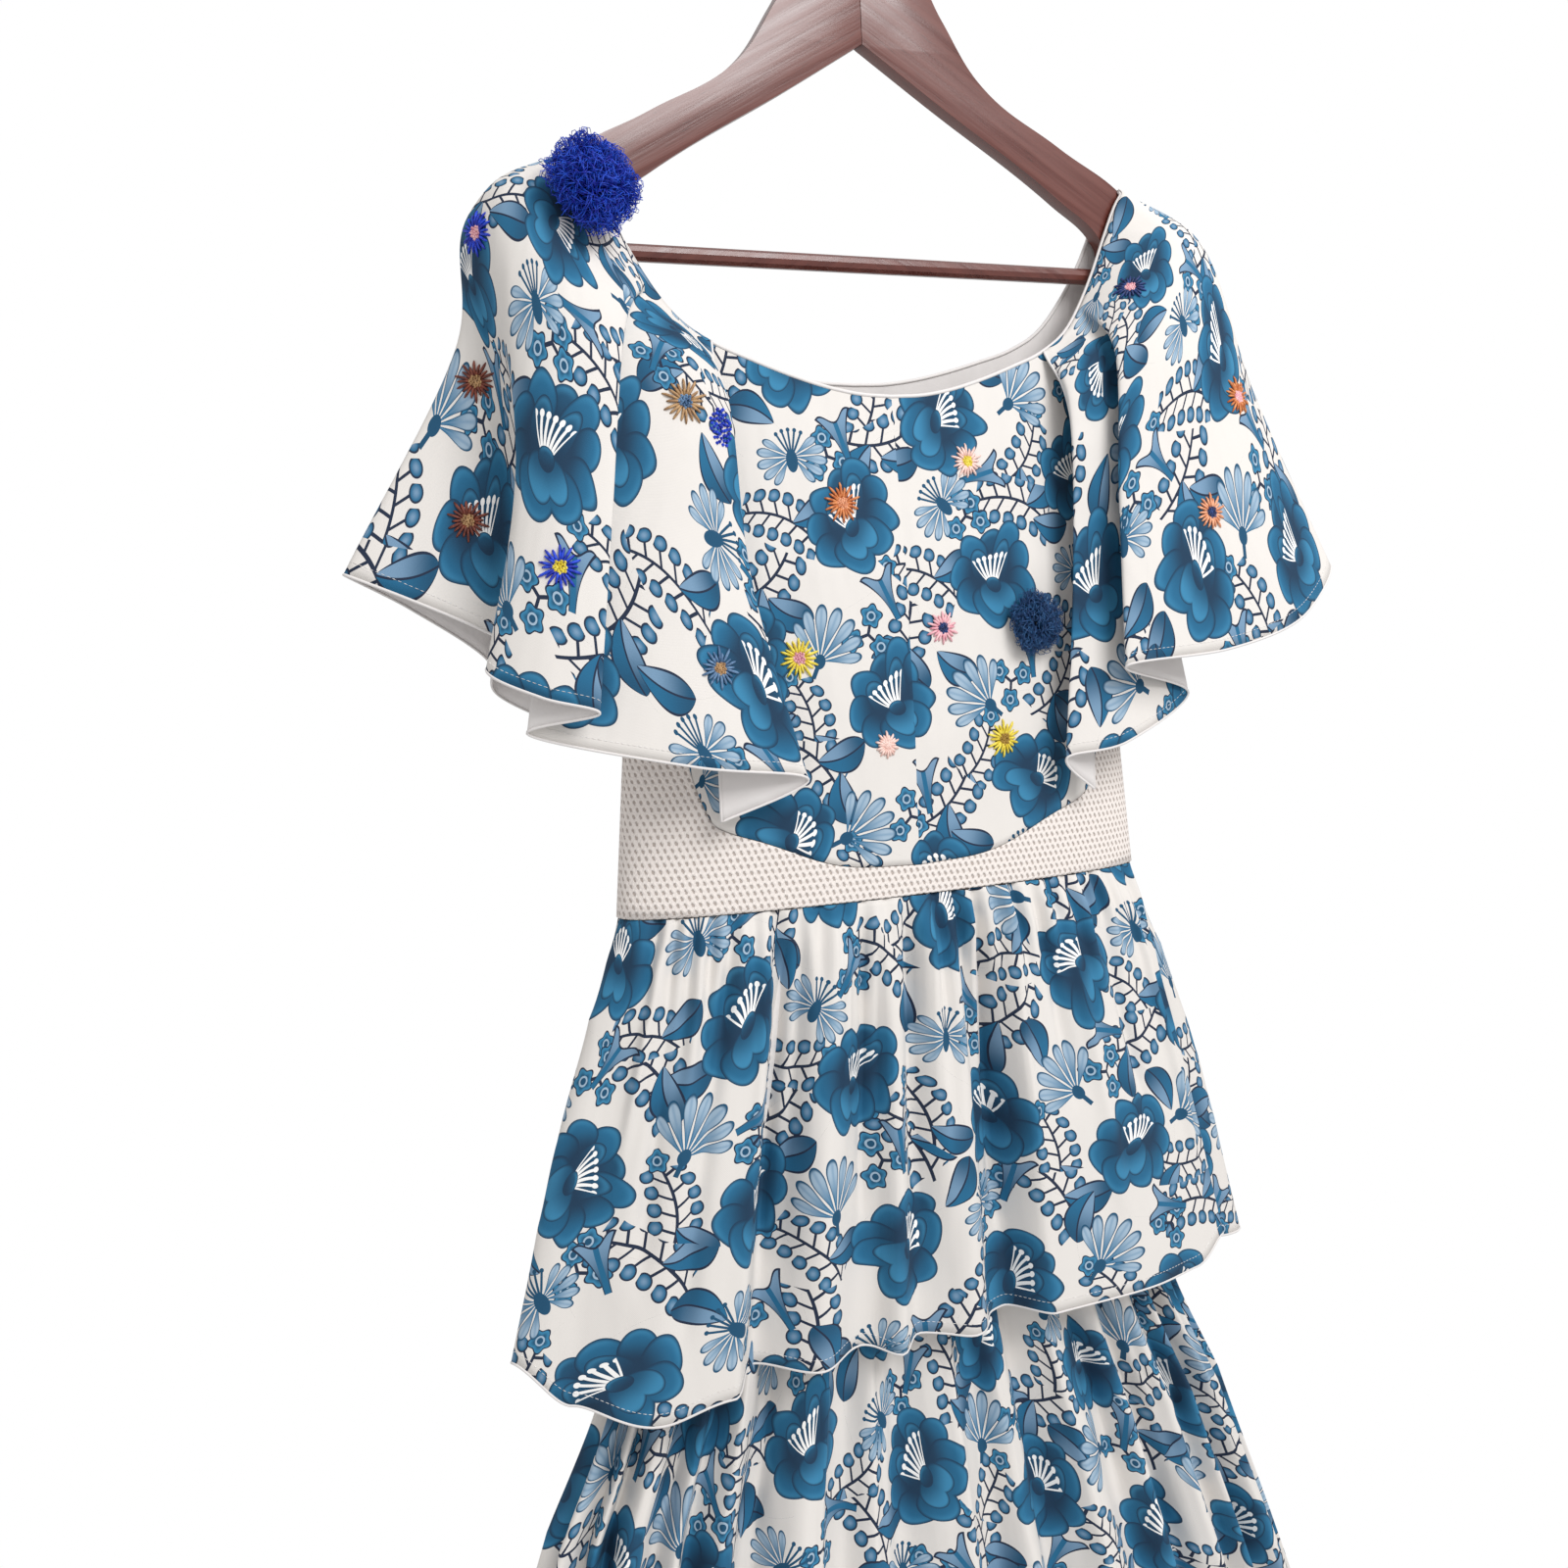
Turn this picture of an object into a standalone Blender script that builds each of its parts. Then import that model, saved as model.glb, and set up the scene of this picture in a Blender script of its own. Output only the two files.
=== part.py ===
# A tiered floral midi dress with shoulder flounces and a crochet waist, on its wooden hanger.
# Metres, +Z up. The front faces -Y and the wearer's left is at the viewer's right, +X.
# Heights in the tables are measured from the underside of the hanger's apex.
# The whole model hangs below the world's origin, which is the inside top of the hook.
import math
import random
from collections import namedtuple

import bpy
import bmesh
from mathutils import Matrix, Vector

NAME = "tiered_midi_dress"
HOOK_RISE = 0.138

# Cloth
WALL = 0.0012
CROCHET_WALL = 0.0016
SEAM_GAP = 0.0004
LIFT = 0.0019
RING_POWER = 2.3

# Hanger
ARM_THICKNESS = 0.012
ARM_EDGE_ROUND = 0.0025
ARM_TOP_RISE = 0.031
ARM_SLOPE = 0.57
BAR_HEIGHT = -0.139
BAR_RADIUS = 0.0055
BAR_SHOULDER = 0.1872
TENON_RADIUS = 0.0035
TENON_START = 0.170
TENON_END = 0.199
WIRE_RADIUS = 0.0015
HOOK_INSIDE_RADIUS = 0.021
HOOK_FOOT = 0.008
HOOK_PULL = 0.020
HOOK_START = -42.0
HOOK_END = 205.0
WOOD_TOP = 0.072
SHANK_DEPTH = 0.020
BORE_OVERRUN = 0.010
BORE_SIDES = 12

# Body of the dress
WAIST = -0.553
UNDERARM_ANGLE = 84.0
SEAM_STEP = 7.0
BACK_NECK_RISE = 0.015
STRAP_DEPTH = 0.0098
STRAP_ROLL = 0.012
STRAP_END = -0.200
STRAP_FADE = 0.040
ARMHOLE_BOW = 7.0
BODICE_LEVELS = (0.0, 0.14, 0.28, 0.42, 0.56, 0.70, 0.82, 0.90, 0.95, 0.975, 0.991, 1.0)
YOKE_LEVELS = 4

# Skirt
TIER_TOP = WAIST - 0.0006
UNDERSKIRT_HEM = -0.775
LOWER_TIER_HEM = -1.21

# Pompoms: a lock is shorter underneath, where the cloth is
LOCK_SHRINK = 0.05
LOCK_LEAN = 0.2
LOCK_SHORTEST = 0.75
UNDER_SHORTENING = 1.4
UNDER_SHORTEST = 0.1
UNDER_REACH = 0.75
POMPOM_FLATNESS = 0.9
TUFT_FLATNESS = 0.5
POMPOM_RADIUS = 0.037
POMPOM_CORE = 0.016
TUFT_RADIUS = 0.025
TUFT_CORE = 0.010
POMPOM_PLACE = (-0.205, -0.040, -0.113)
TUFT_PLACE = (0.094, -0.040, -0.380)

WOOD = ("varnished_wood", (0.165, 0.060, 0.048), 0.32, 0.0)
STEEL = ("polished_steel", (0.62, 0.62, 0.64), 0.22, 1.0)
PRINT = ("printed_cotton", (0.42, 0.55, 0.66), 0.85, 0.0)
CROCHET = ("cotton_crochet", (0.88, 0.83, 0.80), 0.95, 0.0)
ROYAL = ("royal_blue_thread", (0.006, 0.030, 0.42), 0.75, 0.0)
DENIM = ("denim_blue_thread", (0.035, 0.085, 0.20), 0.85, 0.0)

BodyRow = namedtuple("BodyRow", "height half_width half_depth")
BODY = (
    BodyRow(-0.060, 0.238, 0.009),
    BodyRow(-0.140, 0.222, 0.016),
    BodyRow(-0.225, 0.205, 0.027),
    BodyRow(-0.340, 0.189, 0.040),
    BodyRow(-0.450, 0.185, 0.044),
    BodyRow(-0.553, 0.195, 0.042),
)

# Where the printed bodice ends and the crochet starts, from the centre to the side
SeamRow = namedtuple("SeamRow", "angle height")
YOKE_SEAM = (
    SeamRow(0.0, -0.5335),
    SeamRow(14.0, -0.5290),
    SeamRow(30.0, -0.5110),
    SeamRow(45.0, -0.4960),
    SeamRow(52.0, -0.4660),
    SeamRow(58.0, -0.4250),
    SeamRow(66.0, -0.3850),
    SeamRow(78.0, -0.3580),
    SeamRow(90.0, -0.3500),
)

# Neckline from the centre to the shoulder, then along the shoulder seam
NeckRow = namedtuple("NeckRow", "share half_width height")
NECK = (
    NeckRow(0 / 12, 0.0000, -0.2280),
    NeckRow(1 / 12, 0.0230, -0.2268),
    NeckRow(2 / 12, 0.0460, -0.2225),
    NeckRow(3 / 12, 0.0700, -0.2155),
    NeckRow(4 / 12, 0.0960, -0.2060),
    NeckRow(5 / 12, 0.1220, -0.1950),
    NeckRow(6 / 12, 0.1460, -0.1770),
    NeckRow(7 / 12, 0.1700, -0.1400),
    NeckRow(8 / 12, 0.1900, -0.0960),
    NeckRow(9 / 12, 0.1980, -0.0836),
    NeckRow(10 / 12, 0.1990, -0.0810),
    NeckRow(11 / 12, 0.2130, -0.0890),
    NeckRow(12 / 12, 0.2270, -0.0970),
)
SHOULDER_SHARE = 10 / 12
ROLL_SHARE = 8 / 12
FLOUNCE_START = 5 / 12

# Outline of one hanger arm, as the control points of a closed curve
ArmPoint = namedtuple("ArmPoint", "out height corner")
ARM = (
    ArmPoint(0.0002, 0.0720, True),
    ArmPoint(0.0130, 0.0715, False),
    ArmPoint(0.0400, 0.0530, False),
    ArmPoint(0.0600, 0.0210, False),
    ArmPoint(0.0900, -0.0193, False),
    ArmPoint(0.1500, -0.0545, False),
    ArmPoint(0.2050, -0.0859, False),
    ArmPoint(0.2210, -0.1060, False),
    ArmPoint(0.2215, -0.1350, False),
    ArmPoint(0.2060, -0.1530, False),
    ArmPoint(0.1900, -0.1410, False),
    ArmPoint(0.1830, -0.1160, False),
    ArmPoint(0.1500, -0.0905, False),
    ArmPoint(0.0500, -0.0305, False),
    ArmPoint(0.0002, 0.0000, True),
)

# Skirt tiers: the plain ring at each height, before folds
RingRow = namedtuple("RingRow", "height half_width half_depth gather")
UPPER_TIER = (
    RingRow(TIER_TOP, 0.195, 0.042, 0.00),
    RingRow(-0.580, 0.203, 0.047, 0.25),
    RingRow(-0.620, 0.213, 0.049, 0.55),
    RingRow(-0.700, 0.234, 0.051, 0.80),
    RingRow(-0.760, 0.249, 0.052, 0.92),
    RingRow(-0.850, 0.270, 0.052, 1.00),
)
UNDERSKIRT = (
    RingRow(TIER_TOP - 0.001, 0.1900, 0.0370, 0.0),
    RingRow(-0.640, 0.1900, 0.0300, 0.0),
    RingRow(UNDERSKIRT_HEM, 0.1900, 0.0200, 0.0),
)
LOWER_TIER = (
    RingRow(UNDERSKIRT_HEM - SEAM_GAP, 0.1900, 0.0200, 0.20),
    RingRow(-0.800, 0.1980, 0.0220, 0.40),
    RingRow(-0.860, 0.2150, 0.0270, 0.45),
    RingRow(-0.950, 0.2540, 0.0380, 0.60),
    RingRow(-1.080, 0.3000, 0.0540, 0.85),
    RingRow(LOWER_TIER_HEM, 0.3450, 0.0680, 1.00),
)

# Folds of the upper tier, all round: how far each ridge or trough stands out, and its hem
FoldRow = namedtuple("FoldRow", "angle out hem")
UPPER_FOLDS = (
    FoldRow(-84.0, 0.016, -0.822),
    FoldRow(-66.0, 0.006, -0.850),
    FoldRow(-45.0, 0.014, -0.866),
    FoldRow(-34.0, 0.010, -0.855),
    FoldRow(-26.5, -0.016, -0.851),
    FoldRow(-17.0, 0.009, -0.853),
    FoldRow(-9.6, -0.010, -0.850),
    FoldRow(-5.4, 0.007, -0.855),
    FoldRow(-2.0, -0.008, -0.850),
    FoldRow(3.0, 0.009, -0.853),
    FoldRow(9.8, -0.015, -0.850),
    FoldRow(18.0, 0.008, -0.851),
    FoldRow(34.0, 0.014, -0.851),
    FoldRow(50.0, 0.009, -0.851),
    FoldRow(66.0, 0.006, -0.838),
    FoldRow(81.0, -0.032, -0.847),
    FoldRow(97.0, 0.044, -0.858),
    FoldRow(112.0, -0.007, -0.849),
    FoldRow(124.0, 0.010, -0.851),
    FoldRow(136.0, -0.012, -0.850),
    FoldRow(149.0, 0.010, -0.853),
    FoldRow(160.0, -0.008, -0.851),
    FoldRow(171.0, 0.009, -0.853),
    FoldRow(182.0, -0.013, -0.850),
    FoldRow(195.0, 0.011, -0.853),
    FoldRow(206.0, -0.009, -0.851),
    FoldRow(218.0, 0.010, -0.852),
    FoldRow(230.0, -0.012, -0.850),
    FoldRow(244.0, 0.012, -0.851),
    FoldRow(258.0, -0.013, -0.845),
)
WAIST_GATHERS = 48
GATHER_DEPTH = 0.0018
GATHER_LENGTH = 0.11
UPPER_LEVELS = (0.0, 0.08, 0.2, 0.4, 0.6, 0.8, 1.0)
LOWER_LEVELS = (0.0, 0.15, 0.4, 0.7, 1.0)
UNDERSKIRT_SIDES = 40
UNDERSKIRT_LEVELS = (0.0, 0.4, 1.0)

# Folds of the lower tier from side to side across the front: share of the width, and depth
GatherRow = namedtuple("GatherRow", "width depth")
LOWER_GATHERS = (
    GatherRow(1.40, 0.011),
    GatherRow(0.75, 0.007),
    GatherRow(1.15, 0.012),
    GatherRow(0.65, 0.008),
    GatherRow(0.95, 0.010),
    GatherRow(1.30, 0.013),
    GatherRow(0.70, 0.007),
    GatherRow(0.90, 0.009),
    GatherRow(0.65, 0.008),
    GatherRow(1.25, 0.012),
    GatherRow(0.75, 0.008),
    GatherRow(1.05, 0.011),
    GatherRow(0.70, 0.007),
    GatherRow(1.45, 0.012),
    GatherRow(0.85, 0.009),
)
HEM_DIP = 0.2

# Flounces: where each fold leaves the neckline, then its path over the shoulder to the hem.
# A place is (out from the centre, back, height).
FlounceRow = namedtuple("FlounceRow", "along shoulder middle hem")
FLOUNCE_STEPS = 3
FLOUNCE_LEVELS = 8
LEFT_FLOUNCE = (
    FlounceRow(0.00, (0.128, -0.040, -0.245), (0.138, -0.046, -0.360), (0.142, -0.050, -0.492)),
    FlounceRow(0.02, (0.122, -0.046, -0.240), (0.117, -0.056, -0.345), (0.087, -0.062, -0.469)),
    FlounceRow(0.08, (0.150, -0.049, -0.215), (0.165, -0.061, -0.330), (0.165, -0.072, -0.455)),
    FlounceRow(0.14, (0.192, -0.046, -0.200), (0.236, -0.052, -0.310), (0.262, -0.056, -0.430)),
    FlounceRow(0.16, (0.200, -0.055, -0.200), (0.216, -0.067, -0.310), (0.229, -0.076, -0.419)),
    FlounceRow(0.22, (0.222, -0.053, -0.165), (0.238, -0.065, -0.290), (0.258, -0.073, -0.408)),
    FlounceRow(0.30, (0.246, -0.034, -0.128), (0.257, -0.045, -0.280), (0.283, -0.049, -0.392)),
    FlounceRow(0.40, (0.260, -0.014, -0.122), (0.246, -0.014, -0.260), (0.262, -0.012, -0.375)),
    FlounceRow(0.50, (0.264, 0.004, -0.122), (0.274, 0.012, -0.200), (0.348, 0.014, -0.332)),
    FlounceRow(0.60, (0.256, 0.022, -0.126), (0.260, 0.034, -0.235), (0.306, 0.044, -0.352)),
    FlounceRow(0.70, (0.232, 0.036, -0.148), (0.238, 0.036, -0.280), (0.262, 0.034, -0.385)),
    FlounceRow(0.78, (0.208, 0.046, -0.170), (0.224, 0.058, -0.300), (0.246, 0.070, -0.410)),
    FlounceRow(0.86, (0.182, 0.044, -0.195), (0.190, 0.048, -0.320), (0.200, 0.050, -0.436)),
    FlounceRow(0.93, (0.154, 0.048, -0.215), (0.160, 0.058, -0.330), (0.152, 0.066, -0.455)),
    FlounceRow(1.00, (0.124, 0.044, -0.225), (0.116, 0.052, -0.335), (0.090, 0.058, -0.465)),
)
RIGHT_FLOUNCE = (
    FlounceRow(0.00, (0.130, -0.040, -0.240), (0.136, -0.046, -0.360), (0.136, -0.048, -0.494)),
    FlounceRow(0.02, (0.127, -0.046, -0.235), (0.120, -0.054, -0.345), (0.106, -0.060, -0.470)),
    FlounceRow(0.08, (0.146, -0.047, -0.220), (0.150, -0.056, -0.345), (0.152, -0.064, -0.462)),
    FlounceRow(0.13, (0.170, -0.043, -0.200), (0.188, -0.049, -0.320), (0.214, -0.052, -0.432)),
    FlounceRow(0.15, (0.163, -0.053, -0.200), (0.152, -0.067, -0.290), (0.142, -0.080, -0.410)),
    FlounceRow(0.22, (0.198, -0.056, -0.165), (0.212, -0.072, -0.270), (0.225, -0.084, -0.402)),
    FlounceRow(0.30, (0.236, -0.042, -0.128), (0.262, -0.062, -0.250), (0.300, -0.071, -0.383)),
    FlounceRow(0.40, (0.256, -0.022, -0.118), (0.286, -0.036, -0.220), (0.352, -0.040, -0.345)),
    FlounceRow(0.50, (0.256, 0.002, -0.116), (0.266, 0.000, -0.240), (0.305, 0.004, -0.372)),
    FlounceRow(0.60, (0.250, 0.022, -0.122), (0.262, 0.030, -0.235), (0.316, 0.044, -0.352)),
    FlounceRow(0.70, (0.230, 0.036, -0.148), (0.238, 0.036, -0.280), (0.260, 0.034, -0.386)),
    FlounceRow(0.78, (0.208, 0.046, -0.170), (0.222, 0.058, -0.300), (0.242, 0.070, -0.410)),
    FlounceRow(0.86, (0.180, 0.044, -0.192), (0.188, 0.048, -0.320), (0.198, 0.050, -0.436)),
    FlounceRow(0.93, (0.154, 0.048, -0.212), (0.160, 0.058, -0.330), (0.152, 0.066, -0.455)),
    FlounceRow(1.00, (0.124, 0.044, -0.225), (0.116, 0.052, -0.335), (0.092, 0.058, -0.462)),
)


def clamp(value):
    return min(1.0, max(0.0, value))


def mix(start, end, share):
    return start + (end - start) * share


def smooth(share):
    share = clamp(share)
    return share * share * (3.0 - 2.0 * share)


def between(rows, key, place):
    """The two rows around a place, and how far it lies from the first to the second."""
    values = [getattr(row, key) for row in rows]
    rising = values[-1] > values[0]
    for first, second in zip(rows, rows[1:]):
        low, high = getattr(first, key), getattr(second, key)
        if (place <= high) if rising else (place >= high):
            return first, second, clamp((place - low) / (high - low))
    return rows[-2], rows[-1], 1.0


def read(rows, key, place, column):
    first, second, share = between(rows, key, place)
    return mix(getattr(first, column), getattr(second, column), share)


def read_smooth(rows, key, place, column):
    """A smooth curve through the rows, flat at neither end."""
    keys = [getattr(row, key) for row in rows]
    values = [getattr(row, column) for row in rows]
    first, second, share = between(rows, key, place)
    i = keys.index(getattr(first, key))
    before = values[i - 1] if i > 0 else 2 * values[i] - values[i + 1]
    after = values[i + 2] if i + 2 < len(rows) else 2 * values[i + 1] - values[i]
    return spline(before, values[i], values[i + 1], after, share)


def spline(a, b, c, d, t):
    """Catmull-Rom between b and c, for numbers or vectors."""
    squared = (a * 2 - b * 5 + c * 4 - d) * t * t
    cubed = (b * 3 - a - c * 3 + d) * t ** 3
    return (b * 2 + (c - a) * t + squared + cubed) * 0.5


def shoulder_seam(x):
    return ARM_TOP_RISE - ARM_SLOPE * x + 2 * SEAM_GAP + WALL / 2


def ring_point(half_width, half_depth, angle):
    turn = math.radians(angle)
    side, front = math.sin(turn), math.cos(turn)
    x = half_width * math.copysign(abs(side) ** (2 / RING_POWER), side)
    y = -half_depth * math.copysign(abs(front) ** (2 / RING_POWER), front)
    return x, y


def body_point(angle, height, side):
    """A point of the bodice or yoke: the angle is 0 at the centre and 90 at the side."""
    half_width = read(BODY, "height", height, "half_width")
    half_depth = read(BODY, "height", height, "half_depth")
    x, y = ring_point(half_width, half_depth, angle)
    drop = clamp((shoulder_seam(abs(x)) - height) / STRAP_ROLL)
    strap = STRAP_DEPTH * (1.0 - (1.0 - drop) ** 4) ** 0.25
    strap *= smooth((height - STRAP_END) / STRAP_FADE)
    depth = SEAM_GAP / 2 + max(-y, strap)
    return Vector((x, side * depth, height))


def angle_at(x, height):
    half_width = read(BODY, "height", height, "half_width")
    return math.degrees(math.asin(min(1.0, (abs(x) / half_width)) ** (RING_POWER / 2)))


def yoke_top(angle):
    """Height of the crochet's upper edge at an angle from the centre front or back."""
    return read_smooth(YOKE_SEAM, "angle", abs(angle), "height")


def seam_gap(angle):
    """Half the gap at the yoke's seam, measured upright, so that it is even on steep stretches."""
    before = body_point(angle - 1.0, yoke_top(angle - 1.0), -1)
    after = body_point(angle + 1.0, yoke_top(angle + 1.0), -1)
    along = math.hypot(after.x - before.x, after.y - before.y)
    return SEAM_GAP / 2 * math.hypot(along, after.z - before.z) / along


def material(spec):
    name, colour, roughness, metallic = spec
    found = bpy.data.materials.get(name)
    if found:
        return found
    made = bpy.data.materials.new(name)
    made.use_nodes = True
    shader = made.node_tree.nodes["Principled BSDF"]
    shader.inputs["Base Color"].default_value = (*colour, 1.0)
    shader.inputs["Roughness"].default_value = roughness
    shader.inputs["Metallic"].default_value = metallic
    made.diffuse_color = (*colour, 1.0)
    return made


def keep(name, mesh, spec, collection, parent):
    made = bpy.data.objects.new(name, mesh)
    if spec:
        mesh.materials.append(material(spec))
    collection.objects.link(made)
    made.parent = parent
    return made


def grid_mesh(name, rows, closed):
    """A sheet through rows of points, with its front face towards the outside."""
    bm = bmesh.new()
    verts = [[bm.verts.new(point) for point in row] for row in rows]
    columns = len(verts[0])
    for upper, lower in zip(verts, verts[1:]):
        for i in range(columns if closed else columns - 1):
            j = (i + 1) % columns
            bm.faces.new((upper[i], lower[i], lower[j], upper[j]))
    mesh = bpy.data.meshes.new(name)
    bm.to_mesh(mesh)
    bm.free()
    mesh.shade_smooth()
    return mesh


def cloth(name, rows, closed, spec, collection, parent, wall=WALL):
    made = keep(name, grid_mesh(name, rows, closed), spec, collection, parent)
    solid = made.modifiers.new("wall", "SOLIDIFY")
    solid.thickness = wall
    solid.offset = 0.0
    return made


def bodice_rows(side, neck_rise):
    """Columns run from the yoke seam up to the neckline, the shoulder or the armhole."""
    across = round(2 * UNDERARM_ANGLE / SEAM_STEP)
    rows = []
    for up in reversed(BODICE_LEVELS):
        row = []
        for i in range(across + 1):
            p = 2.0 * i / across - 1.0
            reach = abs(p)
            low_angle = UNDERARM_ANGLE * reach
            low = yoke_top(low_angle) + seam_gap(low_angle)
            top_x = read_smooth(NECK, "share", reach, "half_width")
            top = read_smooth(NECK, "share", reach, "height")
            if reach < SHOULDER_SHARE:
                top += neck_rise * (1.0 - smooth(reach / SHOULDER_SHARE))
            else:
                top = shoulder_seam(top_x)
            height = mix(low, top, up)
            angle = mix(low_angle, angle_at(top_x, top), up)
            angle -= ARMHOLE_BOW * reach ** 6 * math.sin(math.pi * up)
            point = body_point(angle, height, side)
            point.x = math.copysign(point.x, p)
            row.append(point)
        rows.append(row if side < 0 else row[::-1])
    return rows


def yoke_rows():
    front = [SEAM_STEP * i - UNDERARM_ANGLE for i in range(round(2 * UNDERARM_ANGLE / SEAM_STEP) + 1)]
    angles = front + [90.0] + [angle + 180.0 for angle in front] + [270.0]
    rows = []
    for level in range(YOKE_LEVELS + 1):
        row = []
        for angle in angles:
            side = -1 if angle <= 90.0 else 1
            from_centre = angle if angle <= 90.0 else 180.0 - angle
            top = yoke_top(from_centre) - seam_gap(abs(from_centre))
            height = mix(top, WAIST, level / YOKE_LEVELS)
            point = body_point(abs(from_centre), height, side)
            point.x = math.copysign(point.x, from_centre)
            row.append(point)
        rows.append(row)
    return rows


def fold_at(folds, angle, column):
    """Rows are ridges and troughs in turn, joined by soft waves all round."""
    start = folds[0].angle
    angle = (angle - start) % 360.0 + start
    ring = list(folds) + [folds[0]._replace(angle=start + 360.0)]
    first, second, share = between(ring, "angle", angle)
    return mix(getattr(first, column), getattr(second, column), smooth(share))


def lower_folds():
    """Narrow gathers of the lower tier, uneven in width and depth, front and back."""
    gathers = LOWER_GATHERS + LOWER_GATHERS[::-1]
    scale = 360.0 / sum(row.width for row in gathers)
    angle = -90.0
    folds = []
    for row in gathers:
        spread = row.width * scale
        folds.append(FoldRow(angle, -row.depth, LOWER_TIER_HEM))
        folds.append(FoldRow(angle + spread / 2, row.depth, LOWER_TIER_HEM - HEM_DIP * row.depth))
        angle += spread
    return folds


def gather_at(angle, drop):
    """Small gathers under the waist seam, which fade out on the way down."""
    turn = math.radians(angle)
    uneven = 1.0 + 0.35 * math.sin(5.0 * turn) + 0.2 * math.sin(11.0 * turn)
    left = 1.0 - smooth(drop / GATHER_LENGTH)
    return GATHER_DEPTH * uneven * left * math.cos(WAIST_GATHERS * turn)


def skirt_rows(rings, folds, angles, levels, gathered=False):
    rows = []
    for level in levels:
        row = []
        for angle in angles:
            hem = fold_at(folds, angle, "hem") if folds else rings[-1].height
            height = mix(rings[0].height, hem, level)
            ring = mix(rings[0].height, rings[-1].height, level)
            half_width = read_smooth(rings, "height", ring, "half_width")
            half_depth = read_smooth(rings, "height", ring, "half_depth")
            x, y = ring_point(half_width, half_depth, angle)
            nearby = ring_point(half_width, half_depth, angle + 1.0)
            outward = Vector((nearby[1] - y, x - nearby[0])).normalized()
            out = 0.0
            if folds:
                out = fold_at(folds, angle, "out") * read_smooth(rings, "height", ring, "gather")
            if gathered:
                out += gather_at(angle, rings[0].height - height)
            row.append(Vector((x + outward.x * out, y + outward.y * out, height)))
        rows.append(row)
    return rows


def even_angles(count):
    return [360.0 * i / count - 90.0 for i in range(count)]


def fold_angles(folds):
    """Angles on each ridge and trough, and one halfway between each two."""
    ring = list(folds) + [folds[0]._replace(angle=folds[0].angle + 360.0)]
    angles = []
    for first, second in zip(ring, ring[1:]):
        angles += [first.angle, (first.angle + second.angle) / 2]
    return angles


def flounce_edge(along):
    """The seam of a flounce: up the front neckline, over the shoulder and down the back."""
    front = along <= 0.5
    share = mix(FLOUNCE_START, SHOULDER_SHARE, 2 * along if front else 2 - 2 * along)
    x = read_smooth(NECK, "share", share, "half_width")
    height = read_smooth(NECK, "share", share, "height")
    if not front:
        height += BACK_NECK_RISE * (1.0 - smooth(share / SHOULDER_SHARE))
    height = min(height, shoulder_seam(x))
    side = -1 if front else 1
    point = body_point(angle_at(x, height), height, side)
    roll = clamp((share - ROLL_SHARE) / (SHOULDER_SHARE - ROLL_SHARE)) * math.pi / 2
    return point + Vector((0.0, side * math.cos(roll), math.sin(roll))) * LIFT


def flounce_rows(folds, mirror, steps, levels):
    """Each column goes from the seam over the shoulder to the hem, between the rows of folds."""
    padded = [folds[0]] + list(folds) + [folds[-1]]
    columns = []
    for i in range(len(folds) - 1):
        columns += [(i, step / steps) for step in range(steps)]
    columns.append((len(folds) - 2, 1.0))
    paths = []
    for i, share in columns:
        near = padded[i:i + 4]
        edge = flounce_edge(mix(near[1].along, near[2].along, share))
        places = [edge]
        for column in ("shoulder", "middle", "hem"):
            places.append(spline(*(Vector(getattr(row, column)) for row in near), share))
        places = [places[0] * 2 - places[1]] + places + [places[3] * 2 - places[2]]
        path = []
        for level in range(levels + 1):
            t = 3.0 * level / levels
            k = min(2, int(t))
            point = spline(*places[k:k + 4], t - k)
            path.append(Vector((point.x * mirror, point.y, point.z)))
        paths.append(path)
    rows = [list(row) for row in zip(*paths)]
    return rows if mirror > 0 else [row[::-1] for row in rows]


def arm(name, mirror, cutters, collection, parent):
    outline = bpy.data.curves.new(name, "CURVE")
    outline.dimensions = "2D"
    outline.fill_mode = "BOTH"
    outline.extrude = ARM_THICKNESS / 2
    outline.resolution_u = 3
    path = outline.splines.new("BEZIER")
    path.bezier_points.add(len(ARM) - 1)
    for knot, place in zip(path.bezier_points, ARM):
        knot.co = (place.out, place.height, 0.0)
        kind = "VECTOR" if place.corner else "AUTO"
        knot.handle_left_type = kind
        knot.handle_right_type = kind
    path.use_cyclic_u = True
    guide = bpy.data.objects.new(name + "_outline", outline)
    collection.objects.link(guide)
    bpy.context.view_layer.update()
    mesh = bpy.data.meshes.new_from_object(guide.evaluated_get(bpy.context.evaluated_depsgraph_get()))
    bpy.data.objects.remove(guide)
    bm = bmesh.new()
    bm.from_mesh(mesh)
    bmesh.ops.remove_doubles(bm, verts=bm.verts, dist=0.00001)
    bmesh.ops.transform(bm, matrix=Matrix.Rotation(math.pi / 2, 4, "X"), verts=bm.verts)
    if mirror < 0:
        bmesh.ops.scale(bm, vec=(-1.0, 1.0, 1.0), verts=bm.verts)
    bmesh.ops.recalc_face_normals(bm, faces=bm.faces)
    bm.to_mesh(mesh)
    bm.free()
    made = keep(name, mesh, WOOD, collection, parent)
    rounding = made.modifiers.new("rounded_edges", "BEVEL")
    rounding.width = ARM_EDGE_ROUND
    rounding.segments = 2
    rounding.limit_method = "ANGLE"
    rounding.angle_limit = math.radians(60.0)
    for cutter in cutters:
        cut = made.modifiers.new(cutter.name, "BOOLEAN")
        cut.operation = "DIFFERENCE"
        cut.object = cutter
    mesh.shade_smooth()
    mesh.set_sharp_from_angle(angle=math.radians(40.0))
    return made


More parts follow.
